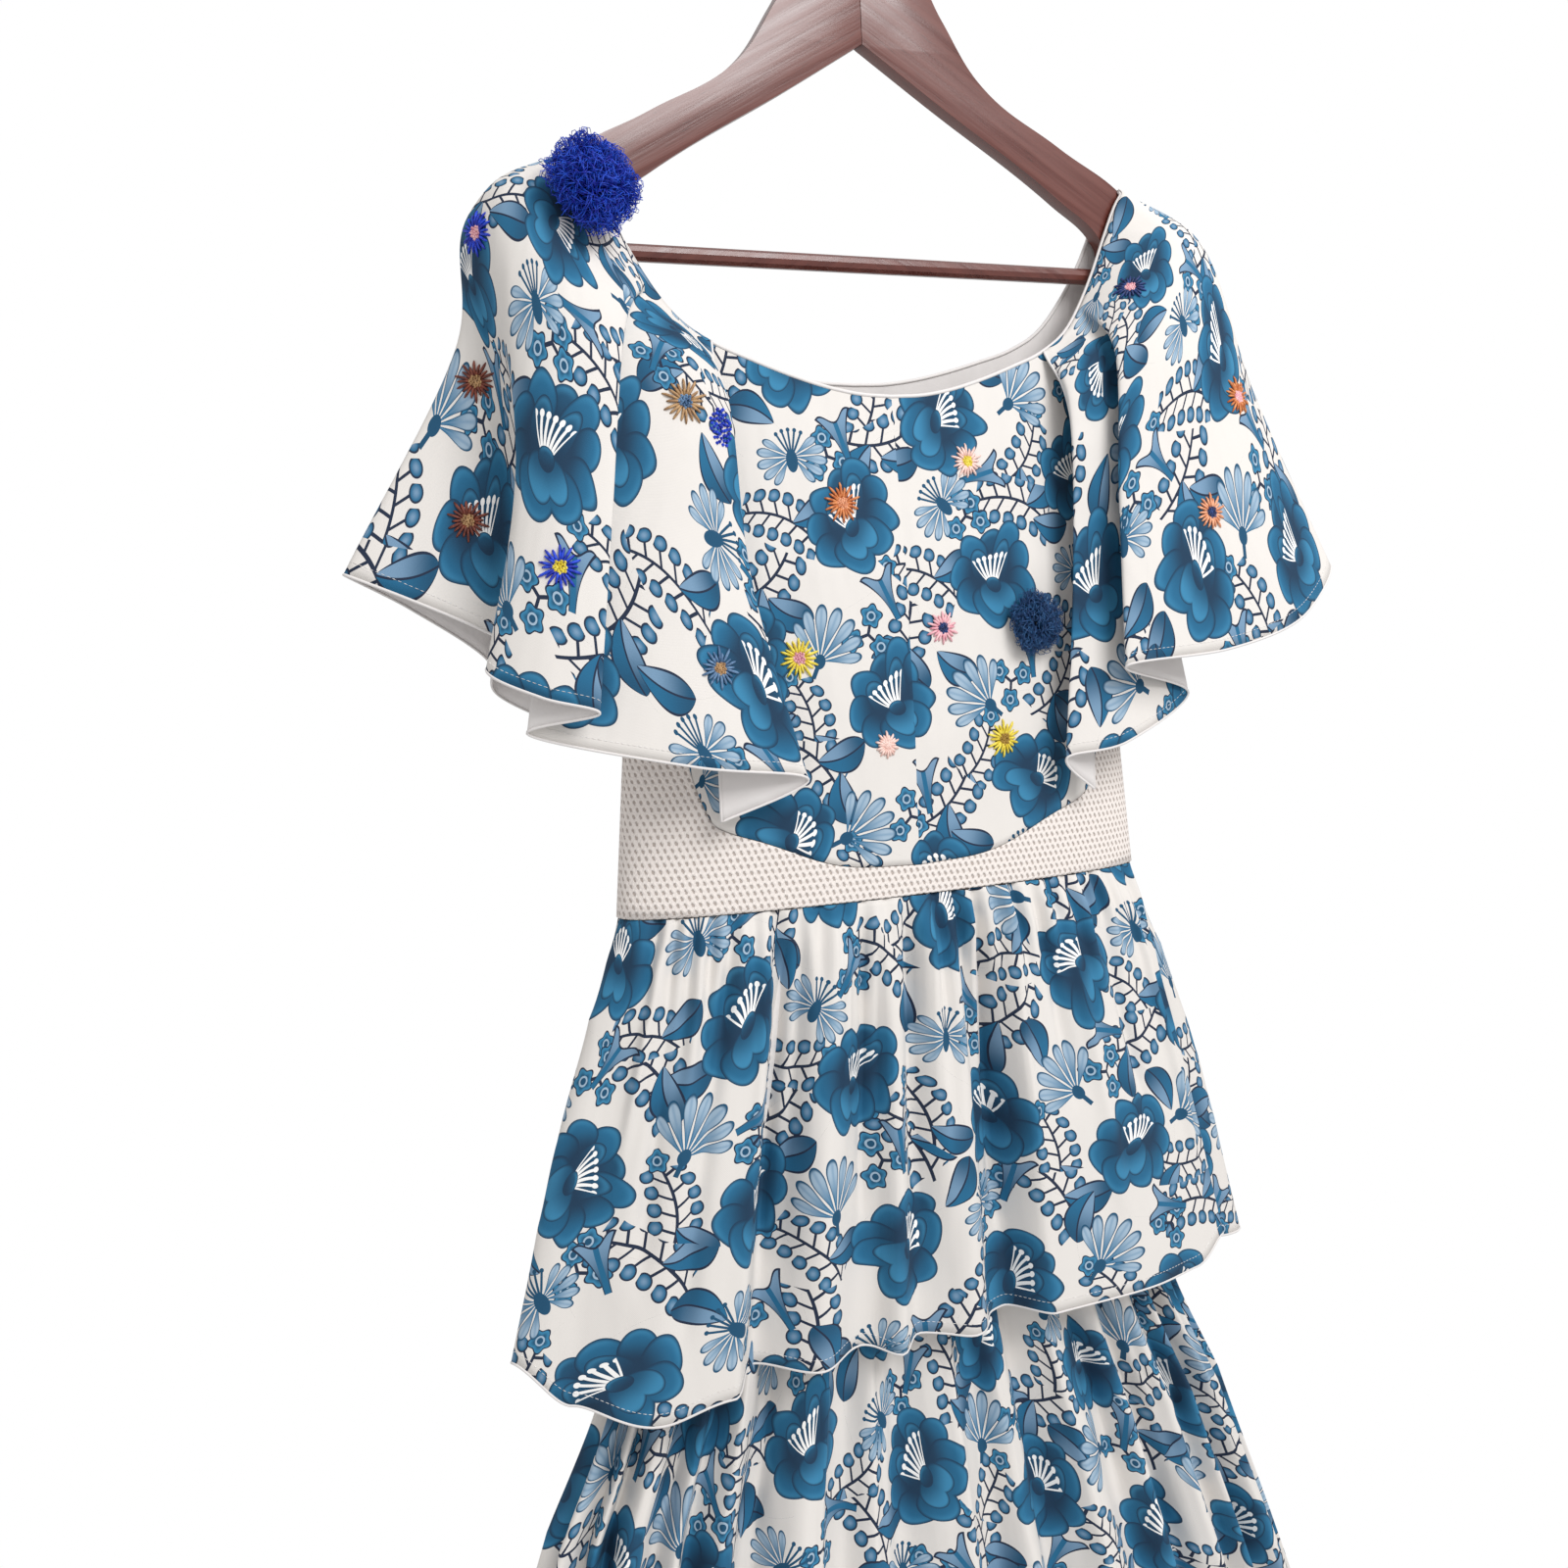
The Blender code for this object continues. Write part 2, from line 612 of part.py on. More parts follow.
def wire(name, path, radius, sides, spec, collection, parent):
    """A rod or wire through (place, width) pairs, where width scales the radius."""
    line = bpy.data.curves.new(name, "CURVE")
    line.dimensions = "3D"
    line.bevel_depth = radius
    line.bevel_resolution = sides
    line.use_fill_caps = True
    track = line.splines.new("POLY")
    track.points.add(len(path) - 1)
    for knot, (place, width) in zip(track.points, path):
        knot.co = (*place, 1.0)
        knot.radius = width
    made = bpy.data.objects.new(name, line)
    line.materials.append(material(spec))
    collection.objects.link(made)
    made.parent = parent
    return made


def hook_path():
    """A straight shank, an easy bend to one side, then an arc over the top."""
    radius = HOOK_INSIDE_RADIUS + WIRE_RADIUS
    centre = HOOK_RISE - HOOK_INSIDE_RADIUS
    start = math.radians(HOOK_START)
    foot = Vector((0.0, WOOD_TOP + HOOK_FOOT))
    pull = Vector((0.0, WOOD_TOP + HOOK_PULL))
    knee = Vector((radius * math.cos(start), centre + radius * math.sin(start)))
    places = [(0.0, WOOD_TOP - SHANK_DEPTH), (0.0, WOOD_TOP), tuple(foot)]
    bend = 6
    for i in range(1, bend):
        t = i / bend
        places.append(tuple(foot * (1 - t) ** 2 + pull * 2 * t * (1 - t) + knee * t * t))
    turns = 16
    for i in range(turns + 1):
        turn = mix(start, math.radians(HOOK_END), i / turns)
        places.append((radius * math.cos(turn), centre + radius * math.sin(turn)))
    return [((x, 0.0, z), 1.0) for x, z in places]


def drill(name, radius, start, end, collection, parent):
    """A round cutter between two places."""
    start, end = Vector(start), Vector(end)
    bm = bmesh.new()
    turn = (end - start).to_track_quat("Z", "Y").to_matrix().to_4x4()
    bmesh.ops.create_cone(bm, cap_ends=True, segments=BORE_SIDES, radius1=radius, radius2=radius,
                          depth=(end - start).length, matrix=turn)
    mesh = bpy.data.meshes.new(name)
    bm.to_mesh(mesh)
    bm.free()
    made = keep(name, mesh, None, collection, parent)
    made.location = (start + end) / 2
    made.hide_render = True
    made.display_type = "WIRE"
    return made


def pompom(name, seat, outward, core, reach, flat, spec, seed, collection, parent):
    """A cut-thread pompom: a small core with a tapering lock on each of its faces."""
    chance = random.Random(seed)
    bm = bmesh.new()
    bmesh.ops.create_icosphere(bm, subdivisions=2, radius=core)
    locks = list(bm.faces)
    bmesh.ops.inset_individual(bm, faces=locks, thickness=core * LOCK_SHRINK)
    roots = [(face, face.normal.copy()) for face in locks]
    for face, normal in roots:
        tip = bmesh.ops.poke(bm, faces=[face])["verts"][0]
        lean = Vector([chance.uniform(-LOCK_LEAN, LOCK_LEAN) for _ in range(3)])
        length = (reach - core) * chance.uniform(LOCK_SHORTEST, 1.0)
        if normal.z < 0.0:
            length *= max(UNDER_SHORTEST, 1.0 + UNDER_SHORTENING * normal.z)
        tip.co += (normal + lean) * length
        tip.co.z = max(tip.co.z, -core * UNDER_REACH)
    for vert in bm.verts:
        vert.co.z *= flat
    turn = outward.to_track_quat("Z", "Y").to_matrix().to_4x4()
    middle = seat + outward * (core * flat + WALL / 2 + SEAM_GAP)
    bmesh.ops.transform(bm, matrix=Matrix.Translation(middle) @ turn, verts=bm.verts)
    mesh = bpy.data.meshes.new(name)
    bm.to_mesh(mesh)
    bm.free()
    return keep(name, mesh, spec, collection, parent)


def nearest_seat(rows, place):
    """The point of a sheet that lies nearest to a place, and the way out of the sheet there."""
    inner = range(1, len(rows) - 1), range(1, len(rows[0]) - 1)
    spots = [(rows[i][k], i, k) for i in inner[0] for k in inner[1]]
    point, i, k = min(spots, key=lambda spot: (spot[0] - place).length)
    across = rows[i][k + 1] - rows[i][k - 1]
    down = rows[i + 1][k] - rows[i - 1][k]
    return point, down.cross(across).normalized()


def build():
    for old in list(bpy.data.objects):
        bpy.data.objects.remove(old, do_unlink=True)
    parts = bpy.data.collections.new(NAME)
    cutters = bpy.data.collections.new(NAME + "_cutters")
    bpy.context.scene.collection.children.link(parts)
    bpy.context.scene.collection.children.link(cutters)
    root = bpy.data.objects.new("hanging_point", None)
    root.location = (0.0, 0.0, -HOOK_RISE)
    parts.objects.link(root)

    bore_radius = WIRE_RADIUS + SEAM_GAP
    shank_bore = drill("shank_bore", bore_radius, (0.0, 0.0, WOOD_TOP - SHANK_DEPTH - SEAM_GAP),
                       (0.0, 0.0, WOOD_TOP + BORE_OVERRUN), cutters, root)
    for name, mirror in (("hanger_arm_left", -1), ("hanger_arm_right", 1)):
        tenon_bore = drill(name + "_bore", TENON_RADIUS + SEAM_GAP, (mirror * TENON_START, 0.0, BAR_HEIGHT),
                           (mirror * (TENON_END + SEAM_GAP), 0.0, BAR_HEIGHT), cutters, root)
        arm(name, mirror, (shank_bore, tenon_bore), parts, root)
    tenon = TENON_RADIUS / BAR_RADIUS
    ends = [(-TENON_END, tenon), (-BAR_SHOULDER - SEAM_GAP, tenon), (-BAR_SHOULDER, 1.0)]
    bar = [((x, 0.0, BAR_HEIGHT), width) for x, width in ends + [(-x, width) for x, width in ends[::-1]]]
    wire("hanger_bar", bar, BAR_RADIUS, 3, WOOD, parts, root)
    wire("hanger_hook", hook_path(), WIRE_RADIUS, 2, STEEL, parts, root)

    front = bodice_rows(-1, 0.0)
    cloth("bodice_front", front, False, PRINT, parts, root)
    cloth("bodice_back", bodice_rows(1, BACK_NECK_RISE), False, PRINT, parts, root)
    cloth("crochet_yoke", yoke_rows(), True, CROCHET, parts, root, CROCHET_WALL)

    upper = skirt_rows(UPPER_TIER, UPPER_FOLDS, even_angles(2 * WAIST_GATHERS), UPPER_LEVELS, True)
    cloth("skirt_upper_tier", upper, True, PRINT, parts, root)
    plain = skirt_rows(UNDERSKIRT, None, even_angles(UNDERSKIRT_SIDES), UNDERSKIRT_LEVELS)
    cloth("underskirt", plain, True, PRINT, parts, root)
    folds = lower_folds()
    lower = skirt_rows(LOWER_TIER, folds, fold_angles(folds), LOWER_LEVELS)
    cloth("skirt_lower_tier", lower, True, PRINT, parts, root)

    left = flounce_rows(LEFT_FLOUNCE, -1, FLOUNCE_STEPS, FLOUNCE_LEVELS)
    right = flounce_rows(RIGHT_FLOUNCE, 1, FLOUNCE_STEPS, FLOUNCE_LEVELS)
    cloth("flounce_left", left, False, PRINT, parts, root)
    cloth("flounce_right", right, False, PRINT, parts, root)

    seat, outward = nearest_seat(left, Vector(POMPOM_PLACE))
    pompom("pompom_left", seat, outward, POMPOM_CORE, POMPOM_RADIUS, POMPOM_FLATNESS, ROYAL, 3, parts, root)
    seat, outward = nearest_seat(front, Vector(TUFT_PLACE))
    pompom("tuft_right", seat, outward, TUFT_CORE, TUFT_RADIUS, TUFT_FLATNESS, DENIM, 5, parts, root)


build()
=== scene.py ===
import math
import random
from collections import namedtuple
from functools import partial

import bpy
from mathutils import Matrix, Vector
from mathutils.bvhtree import BVHTree


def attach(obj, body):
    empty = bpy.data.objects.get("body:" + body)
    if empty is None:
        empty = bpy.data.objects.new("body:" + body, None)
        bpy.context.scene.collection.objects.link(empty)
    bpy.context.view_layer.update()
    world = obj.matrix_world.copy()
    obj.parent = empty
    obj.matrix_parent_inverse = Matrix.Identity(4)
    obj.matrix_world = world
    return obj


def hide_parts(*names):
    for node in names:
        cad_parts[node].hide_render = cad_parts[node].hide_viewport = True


# Looks of the tiered floral dress on its wooden hanger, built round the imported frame.
# Everything is in metres. Heights in the tables are measured from the underside of the
# hanger's apex, which hangs hookRise below the world's origin, the inside top of the hook.

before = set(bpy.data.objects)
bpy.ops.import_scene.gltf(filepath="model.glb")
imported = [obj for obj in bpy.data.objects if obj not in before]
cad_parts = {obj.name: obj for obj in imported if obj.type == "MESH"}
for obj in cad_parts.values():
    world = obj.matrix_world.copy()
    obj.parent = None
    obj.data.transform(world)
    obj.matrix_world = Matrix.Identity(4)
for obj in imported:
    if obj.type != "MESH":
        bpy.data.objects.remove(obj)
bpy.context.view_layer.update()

hookRise = 0.138
clothWall = 0.0006
seamGap = 0.0004
cadWall = 0.0012
lift = 0.0019
ringPower = 2.3

inks = {  # the print's colours, as seen
    "ground": "E1DCD7",
    "line": "17263F",
    "night": "0D3450",
    "deep": "104B6C",
    "blue": "1A658C",
    "sky": "3480A8",
    "mist": "7495B2",
    "haze": "9FB6C9",
    "white": "F7F6F4",
}


# small helpers

def clamp(value):
    return min(1.0, max(0.0, value))


def mix(start, end, share):
    return start + (end - start) * share


def smooth(share):
    share = clamp(share)
    return share * share * (3.0 - 2.0 * share)


def bump(distance, width):  # a soft hill, 1 in the middle
    return math.exp(-(distance / width) ** 2)


def table(columns, rows):
    Row = namedtuple("Row", columns)
    return [Row(*row) for row in rows]


def spline(a, b, c, d, t):  # smooth curve from b to c
    squared = (a * 2 - b * 5 + c * 4 - d) * t * t
    cubed = (b * 3 - a - c * 3 + d) * t ** 3
    return (b * 2 + (c - a) * t + squared + cubed) * 0.5


def between(rows, key, place):
    values = [getattr(row, key) for row in rows]
    rising = values[-1] > values[0]
    for i in range(len(rows) - 1):
        low, high = values[i], values[i + 1]
        if (place <= high) if rising else (place >= high):
            return i, clamp((place - low) / (high - low))
    return len(rows) - 2, 1.0


def read(rows, key, place, column):
    i, share = between(rows, key, place)
    return mix(getattr(rows[i], column), getattr(rows[i + 1], column), share)


def readSmooth(rows, key, place, column):
    i, share = between(rows, key, place)
    values = [getattr(row, column) for row in rows]
    before = values[i - 1] if i > 0 else 2 * values[i] - values[i + 1]
    after = values[i + 2] if i + 2 < len(rows) else 2 * values[i + 1] - values[i]
    return spline(before, values[i], values[i + 1], after, share)


def inkColour(code):  # hex as seen, to the linear colour that shaders use
    seen = [int(code[i:i + 2], 16) / 255 for i in (0, 2, 4)]
    linear = [s / 12.92 if s <= 0.04045 else ((s + 0.055) / 1.055) ** 2.4 for s in seen]
    return (*linear, 1.0)


# shader helpers: a Wire is a node's output, which is added, scaled and compared like a number or a vector

class Wire:
    def __init__(self, socket):
        self.socket = socket

    def __add__(self, other):
        return calc("ADD", self, other)

    def __sub__(self, other):
        return calc("SUBTRACT", self, other)

    def __rsub__(self, other):
        return calc("SUBTRACT", other, self)

    def __mul__(self, other):
        return calc("MULTIPLY", self, other)

    def __truediv__(self, other):
        return calc("DIVIDE", self, other)

    def __lt__(self, other):
        return calc("LESS_THAN", self, other)

    def __gt__(self, other):
        return calc("GREATER_THAN", self, other)

    def __abs__(self):
        return calc("ABSOLUTE", self)


def plug(socket, value):
    if isinstance(value, Wire):
        socket.id_data.links.new(value.socket, socket)
    else:
        socket.default_value = value


def addNode(near, kind, *values, **settings):  # in the same tree as near, with values in its first sockets
    node = near.id_data.nodes.new("ShaderNode" + kind)
    for label, setting in settings.items():
        setattr(node, label, setting)
    for socket, value in zip(node.inputs, values):
        plug(socket, value)
    return node


def calc(operation, *values):  # on vectors where the first wire carries one
    first = next(value.socket for value in values if isinstance(value, Wire))
    number = first.type == "VALUE"
    node = addNode(first, "Math" if number else "VectorMath", *values, operation=operation)
    return Wire(node.outputs["Value" if number or operation == "LENGTH" else "Vector"])


scaled, most, power, sine, cosine, rounded, heading, remainder, signOf, lengthOf = (
    partial(calc, operation) for operation in (
        "MULTIPLY_ADD", "MAXIMUM", "POWER", "SINE", "COSINE", "ROUND", "ARCTAN2", "FLOORED_MODULO", "SIGN",
        "LENGTH"))


def fade(value, start, end):  # 0 at start, 1 at end, softly between
    ramp = addNode(value.socket, "MapRange", value, start, end, 0.0, 1.0, interpolation_type="SMOOTHSTEP")
    return Wire(ramp.outputs[0])


def tint(share, low, high):
    node = addNode(share.socket, "Mix", data_type="RGBA")
    for i, value in ((0, share), (6, low), (7, high)):
        plug(node.inputs[i], value)
    return Wire(node.outputs[2])


def apart(vector):
    return [Wire(output) for output in addNode(vector.socket, "SeparateXYZ", vector).outputs]


def together(x, y, z=0.0):
    return Wire(addNode(x.socket, "CombineXYZ", x, y, z).outputs[0])


def spin(vector, angle):
    node = addNode(vector.socket, "VectorRotate", rotation_type="Z_AXIS")
    plug(node.inputs["Vector"], vector)
    plug(node.inputs["Angle"], angle)
    return Wire(node.outputs[0])


def shift(vector, x, y, size):  # the place as seen from (x, y), in units of size
    return (vector - (x, y, 0.0)) * (1 / size, 1 / size, 1.0)


def cloudy(place, scale, detail=2.0):  # soft noise round 0.5
    node = addNode(place.socket, "TexNoise", place)
    node.inputs["Scale"].default_value = scale
    node.inputs["Detail"].default_value = detail
    return Wire(node.outputs["Fac"])


def newGroup(name, given, made):  # sockets are written as name:kind
    group = bpy.data.node_groups.new(name, "ShaderNodeTree")
    for direction, sockets in (("INPUT", given), ("OUTPUT", made)):
        for item in sockets.split():
            label, kind = item.split(":")
            group.interface.new_socket(name=label, in_out=direction, socket_type="NodeSocket" + kind)
    starts = group.nodes.new("NodeGroupInput").outputs
    return group, {start.name: Wire(start) for start in starts}


def sealed(group, *values):  # one value for each of the group's outputs
    for socket, value in zip(group.nodes.new("NodeGroupOutput").inputs, values):
        plug(socket, value)
    return group


def useGroup(group, **values):
    near = next(value.socket for value in values.values() if isinstance(value, Wire))
    node = addNode(near, "Group", node_tree=group)
    for label, value in values.items():
        plug(node.inputs[label], value)
    return {output.name: Wire(output) for output in node.outputs}


# the print's motifs: each group draws one flower or leaf round (0, 0), about 1 across each way

motif = "Colour:Color Mask:Float"


def ink(name):
    return inkColour(inks[name])


def petalGroup():
    group, given = newGroup("petal", "Place:Vector Centre:Vector Turn:Float Size:Vector Dark:Color "
                            "Light:Color Under:Color UnderMask:Float", motif)
    local = spin(given["Place"] - given["Centre"], given["Turn"]) / given["Size"]
    y = apart(local)[1]
    away = lengthOf(local)
    inside = away < 0.995
    body = tint(fade(y, -0.75, 0.75), given["Dark"], given["Light"])
    body = tint(fade(away, 0.45, 0.80) * fade(y, 0.1, 1.3), body, ink("sky"))
    body = tint(fade(away, 0.80, 1.0), body, ink("night"))
    return sealed(group, tint(inside, given["Under"], body), most(inside, given["UnderMask"]))


def stamensGroup():  # fine threads with round tips, fanned upwards
    group, given = newGroup("stamens", "Place:Vector Spread:Float Gap:Float Reach:Float Width:Float",
                            "Mask:Float")
    x, y, _ = apart(given["Place"])
    angle = heading(x, y)
    away = lengthOf(given["Place"])
    turns = angle / given["Gap"]
    across = (turns - rounded(turns)) * given["Gap"] * away
    line = (abs(across) < given["Width"]) * (away < given["Reach"])
    tip = lengthOf(together(across, away - given["Reach"]))
    both = most(line, tip < given["Width"] * 1.9)
    return sealed(group, both * (abs(angle) < given["Spread"]))


peony = {
    # centre, lean in degrees, size, dark ink, light ink; a petal off the middle is drawn on both sides
    "petals": table("x y lean wide tall dark light", [
        (0.00, 0.64, 0.0, 0.30, 0.33, "night", "deep"), (0.40, 0.52, 32.0, 0.35, 0.38, "deep", "blue"),
        (0.68, 0.10, 78.0, 0.34, 0.33, "night", "blue"), (0.24, 0.26, 14.0, 0.24, 0.38, "night", "deep"),
        (0.58, -0.36, 118.0, 0.36, 0.42, "night", "blue"), (0.28, -0.56, 156.0, 0.36, 0.42, "deep", "blue"),
        (0.16, -0.36, 166.0, 0.24, 0.34, "deep", "sky"), (0.00, -0.08, 0.0, 0.17, 0.16, "night", "deep")]),
    "front": 4,  # the petals from here on lie over the stamens
    "wobble": 0.10,
    "heart": 0.55,  # a disc under the petals, so that no cloth shows between them
}


def peonyGroup(petal, stamens):
    group, given = newGroup("peony", "Place:Vector Chance:Float", motif)
    x, y, _ = apart(given["Place"])
    phase = given["Chance"] * 6.3
    sway = scaled(sine(scaled(y, 3.4, phase)), peony["wobble"], x)
    rise = scaled(sine(scaled(x, 4.1, phase)), peony["wobble"], y)
    upright = together(sway, rise)
    folded = together(abs(sway), rise)
    colour = ink("night")
    mask = lengthOf(upright) < peony["heart"]
    for i, row in enumerate(peony["petals"]):
        if i == peony["front"]:
            rays = useGroup(stamens, Place=shift(upright, 0.0, -0.16, 1.0), Spread=0.72, Gap=0.24,
                            Reach=0.62, Width=0.027)["Mask"]
            colour = tint(rays, colour, ink("white"))
        colour, mask = useGroup(
            petal, Place=folded if row.x else upright, Centre=(row.x, row.y, 0.0), Under=colour,
            UnderMask=mask, Turn=math.radians(row.lean), Size=(row.wide, row.tall, 1.0),
            Dark=ink(row.dark), Light=ink(row.light)).values()
    return sealed(group, colour, mask)


def fanGroup():  # separate narrow petals spread upwards from (0, 0)
    group, given = newGroup("fan", "Place:Vector Spread:Float Gap:Float", motif)
    x, y, _ = apart(given["Place"])
    angle = heading(x, y)
    turns = angle / given["Gap"]
    near = abs(turns - rounded(turns))
    lean = angle / given["Spread"]
    away = lengthOf(given["Place"]) / scaled(lean * lean, -0.24, 1.0)
    past = (most(away, 0.66) - 0.66) / 0.34
    width = scaled(fade(away, 0.1, 0.75), 0.16, 0.31)
    reach = lengthOf(together(past, near / width))
    body = tint(fade(away, 0.20, 0.80), ink("blue"), ink("haze"))
    body = tint(fade(near, 0.16, 0.0) * 0.6, body, ink("mist"))
    body = tint(fade(reach, 0.72, 0.90), body, ink("deep"))
    return sealed(group, body, (reach < 0.97) * (abs(lean) < 0.98))


def leafGroup():  # pointed at both ends, its halves in two blues
    group, given = newGroup("leaf", "Place:Vector", motif)
    x, y, _ = apart(given["Place"])
    squared = y * y
    bend = x - squared * 0.24
    wide = power(most(1.0 - squared, 0.0), 0.75) * scaled(y, -0.20, 0.62)
    reach = abs(bend) / most(wide, 0.001)
    body = tint(bend > 0.0, ink("blue"), ink("mist"))
    body = tint(fade(y, 0.5, -0.9), body, ink("deep"))
    body = tint(most(reach > 0.84, abs(bend) < 0.0325), body, ink("line"))
    return sealed(group, body, reach < 0.965)


def blossomGroup():  # round flower with five shallow lobes and a ringed eye
    group, given = newGroup("blossom", "Place:Vector", motif)
    x, y, _ = apart(given["Place"])
    away = lengthOf(given["Place"])
    reach = away / scaled(cosine(heading(x, y) * 5.0), 0.13, 0.85)
    body = tint(fade(reach, 0.35, 0.80), ink("deep"), ink("sky"))
    body = tint(reach > 0.85, body, ink("line"))
    body = tint((away > 0.225) * (away < 0.355), body, ink("haze"))
    return sealed(group, body, reach < 0.97)


def bellGroup():  # trumpet flower, opening upwards
    group, given = newGroup("bell", "Place:Vector", motif)
    x, y, _ = apart(given["Place"])
    side = abs(x)
    rise = most(scaled(y, 0.5, 0.5), 0.0)
    reach = side / scaled(power(rise, 2.4), 0.84, 0.12)
    over = scaled(cosine(x * 6.0), -0.16, 0.66) - y
    inside = (reach < 0.965) * (over > 0.015) * (y > -0.98)
    body = tint(fade(y, -0.9, 0.6), ink("deep"), ink("mist"))
    body = tint(side < 0.08, body, ink("blue"))
    body = tint(most(reach > 0.84, over < 0.08), body, ink("line"))
    return sealed(group, body, inside)


def sprigGroup(leaf, blossom):  # a bent stem with a berry at the end of each side stalk
    group, given = newGroup("sprig", "Place:Vector", motif)
    x, y, _ = apart(given["Place"])
    squared = y * y
    bend = scaled(squared, 0.34, x - 0.14)
    side = abs(bend)
    high = abs(y)
    stem = (side < 0.027) * (high < 0.94)
    climb = (y + signOf(bend) * 0.075) / 0.29
    local = (climb - rounded(climb)) * 0.29
    slant = local - scaled(side, 0.5, -0.12)
    stalk = (abs(slant) < 0.024) * (side < 0.26)
    tall = high < 0.83
    berry = lengthOf(together(side - scaled(squared, -0.10, 0.36), local - 0.04)) / 0.135
    fruit = (berry < 0.965) * tall
    skin = tint(fade(berry, 0.0, 0.8), ink("mist"), ink("blue"))
    colour = tint(fruit, ink("line"), tint(fade(berry, 0.68, 0.84), skin, ink("line")))
    mask = most(fruit, most(stem, stalk * tall))
    top = shift(given["Place"], -0.14, 0.92, 0.24)
    foot = spin(shift(given["Place"], 0.40, -0.62, 0.46), -0.9)
    for kind, place in ((blossom, top), (leaf, foot)):
        drawn, cover = useGroup(kind, Place=place).values()
        colour = tint(cover, colour, drawn)
        mask = most(mask, cover)
    return sealed(group, colour, mask)


def spotGroup():  # the nearest spot of a staggered grid: the place seen from it, turned by chance
    group, given = newGroup("spots", "Place:Vector Start:Vector Pitch:Vector Jitter:Vector Seed:Float "
                            "Lean:Float Swing:Float Size:Vector", "Local:Vector Chance:Float")
    x, y, _ = apart((given["Place"] - given["Start"]) / given["Pitch"])
    row = rounded(y)
    staggered = scaled(remainder(row, 2.0), 0.5, x)
    nearest = together(rounded(staggered), row, given["Seed"])
    picked = addNode(nearest.socket, "TexWhiteNoise", nearest)
    inCell = together(staggered, y, given["Seed"]) - nearest
    chance = Wire(picked.outputs["Color"]) - (0.5, 0.5, 0.5)
    local = inCell * given["Pitch"] - chance * given["Jitter"]
    turn = scaled(apart(chance)[2], given["Swing"], given["Lean"])
    return sealed(group, spin(local, turn) / given["Size"], Wire(picked.outputs["Value"]))


printGrid = {
    "tilt": 0.31,  # the grid's rows run askew, so that no row of flowers shows
    "pitch": (0.112, 0.096, 1.0),
    "jitter": (0.018, 0.018, 0.0),
    "seed": 4.0,
    "winged": 0.52,  # above this chance a half flower is a winged one
    # what is drawn at each spot, the lowest first: place in the grid, real half size, how far it turns
    "layers": table("kind x y size swing", [
        ("sprig", 0.056, -0.014, 0.032, 3.6), ("leaf", 0.028, 0.043, 0.0165, 6.2),
        ("cluster", -0.029, 0.044, 0.0200, 6.2), ("bell", 0.034, -0.036, 0.0185, 3.0),
        ("fan", 0.056, 0.030, 0.0240, 2.6), ("peony", 0.000, 0.000, 0.0315, 2.5)]),
    # a second row of sprigs, which shares one drawing with the first layer
    "otherSprig": {"x": 0.000, "y": 0.058, "size": 0.036, "swing": 2.8, "seed": 3.0},
}


def fanMotif(fan, stamens, place, winged):
    # a half flower on its cup and stalk, or where winged is 1 two halves back to back, with feelers
    x, y, _ = apart(place)
    turned = spin(shift(together(abs(x), y), 0.04, 0.04, 0.98), 1.75)
    seen = tint(winged, shift(place, 0.0, -0.55, 1.45), turned)
    drawn, mask = useGroup(fan, Place=seen, Spread=scaled(winged, -0.28, 1.26),
                           Gap=scaled(winged, 0.02, 0.36)).values()
    middle = scaled(winged, -0.5, y + 0.56)
    cup = lengthOf(together(x / 0.17, middle / scaled(winged, 0.10, 0.20)))
    rays = useGroup(stamens, Place=place, Spread=0.62, Gap=0.26, Reach=0.70, Width=0.028)["Mask"]
    stalk = (abs(x) < 0.06) * (y < -0.525) * (y > -1.01)
    base = most(cup < 0.95, scaled(winged, rays - stalk, stalk))
    return tint(base, drawn, ink("deep")), most(mask, base)


def clusterMotif(blossom, place):  # three blossoms round a point, on short stalks
    x, y, _ = apart(place)
    third = 2.0 * math.pi / 3.0
    angle = remainder(heading(x, y), third) - third / 2
    away = lengthOf(place)
    across = sine(angle) * away
    outward = cosine(angle) * away
    drawn, mask = useGroup(blossom, Place=shift(together(across, outward), 0.0, 0.56, 0.42)).values()
    return tint(mask, ink("line"), drawn), most(mask, (abs(across) < 0.05) * (outward < 0.275))


def printGroup():  # the whole floral print, for a place in metres of cloth
    petal, stamens, fan, leaf = petalGroup(), stamensGroup(), fanGroup(), leafGroup()
    blossom, spots = blossomGroup(), spotGroup()
    whole = {"peony": peonyGroup(petal, stamens), "sprig": sprigGroup(leaf, blossom),
             "bell": bellGroup(), "leaf": leaf}
    group, given = newGroup("floral print", "Place:Vector", "Colour:Color")
    askew = spin(given["Place"], printGrid["tilt"])

    def spotsOf(x, y, size, swing, seed):
        return useGroup(spots, Place=askew, Start=(x, y, 0.0), Pitch=printGrid["pitch"], Seed=seed,
                        Jitter=printGrid["jitter"], Lean=-printGrid["tilt"], Swing=swing,
                        Size=(size, size, 1.0)).values()

    colour = ink("ground")
    for i, row in enumerate(printGrid["layers"]):
        place, chance = spotsOf(row.x, row.y, row.size, row.swing, printGrid["seed"] + i)
        if row.kind == "sprig":
            other, _ = spotsOf(**printGrid["otherSprig"])
            place = tint(lengthOf(other) < lengthOf(place), place, other)
        if row.kind == "fan":
            drawn, mask = fanMotif(fan, stamens, place, chance > printGrid["winged"])
        elif row.kind == "cluster":
            drawn, mask = clusterMotif(blossom, place)
        else:
            extra = {"Chance": chance} if row.kind == "peony" else {}
            drawn, mask = useGroup(whole[row.kind], Place=place, **extra).values()
        colour = tint(mask, colour, drawn)
    return sealed(group, colour)


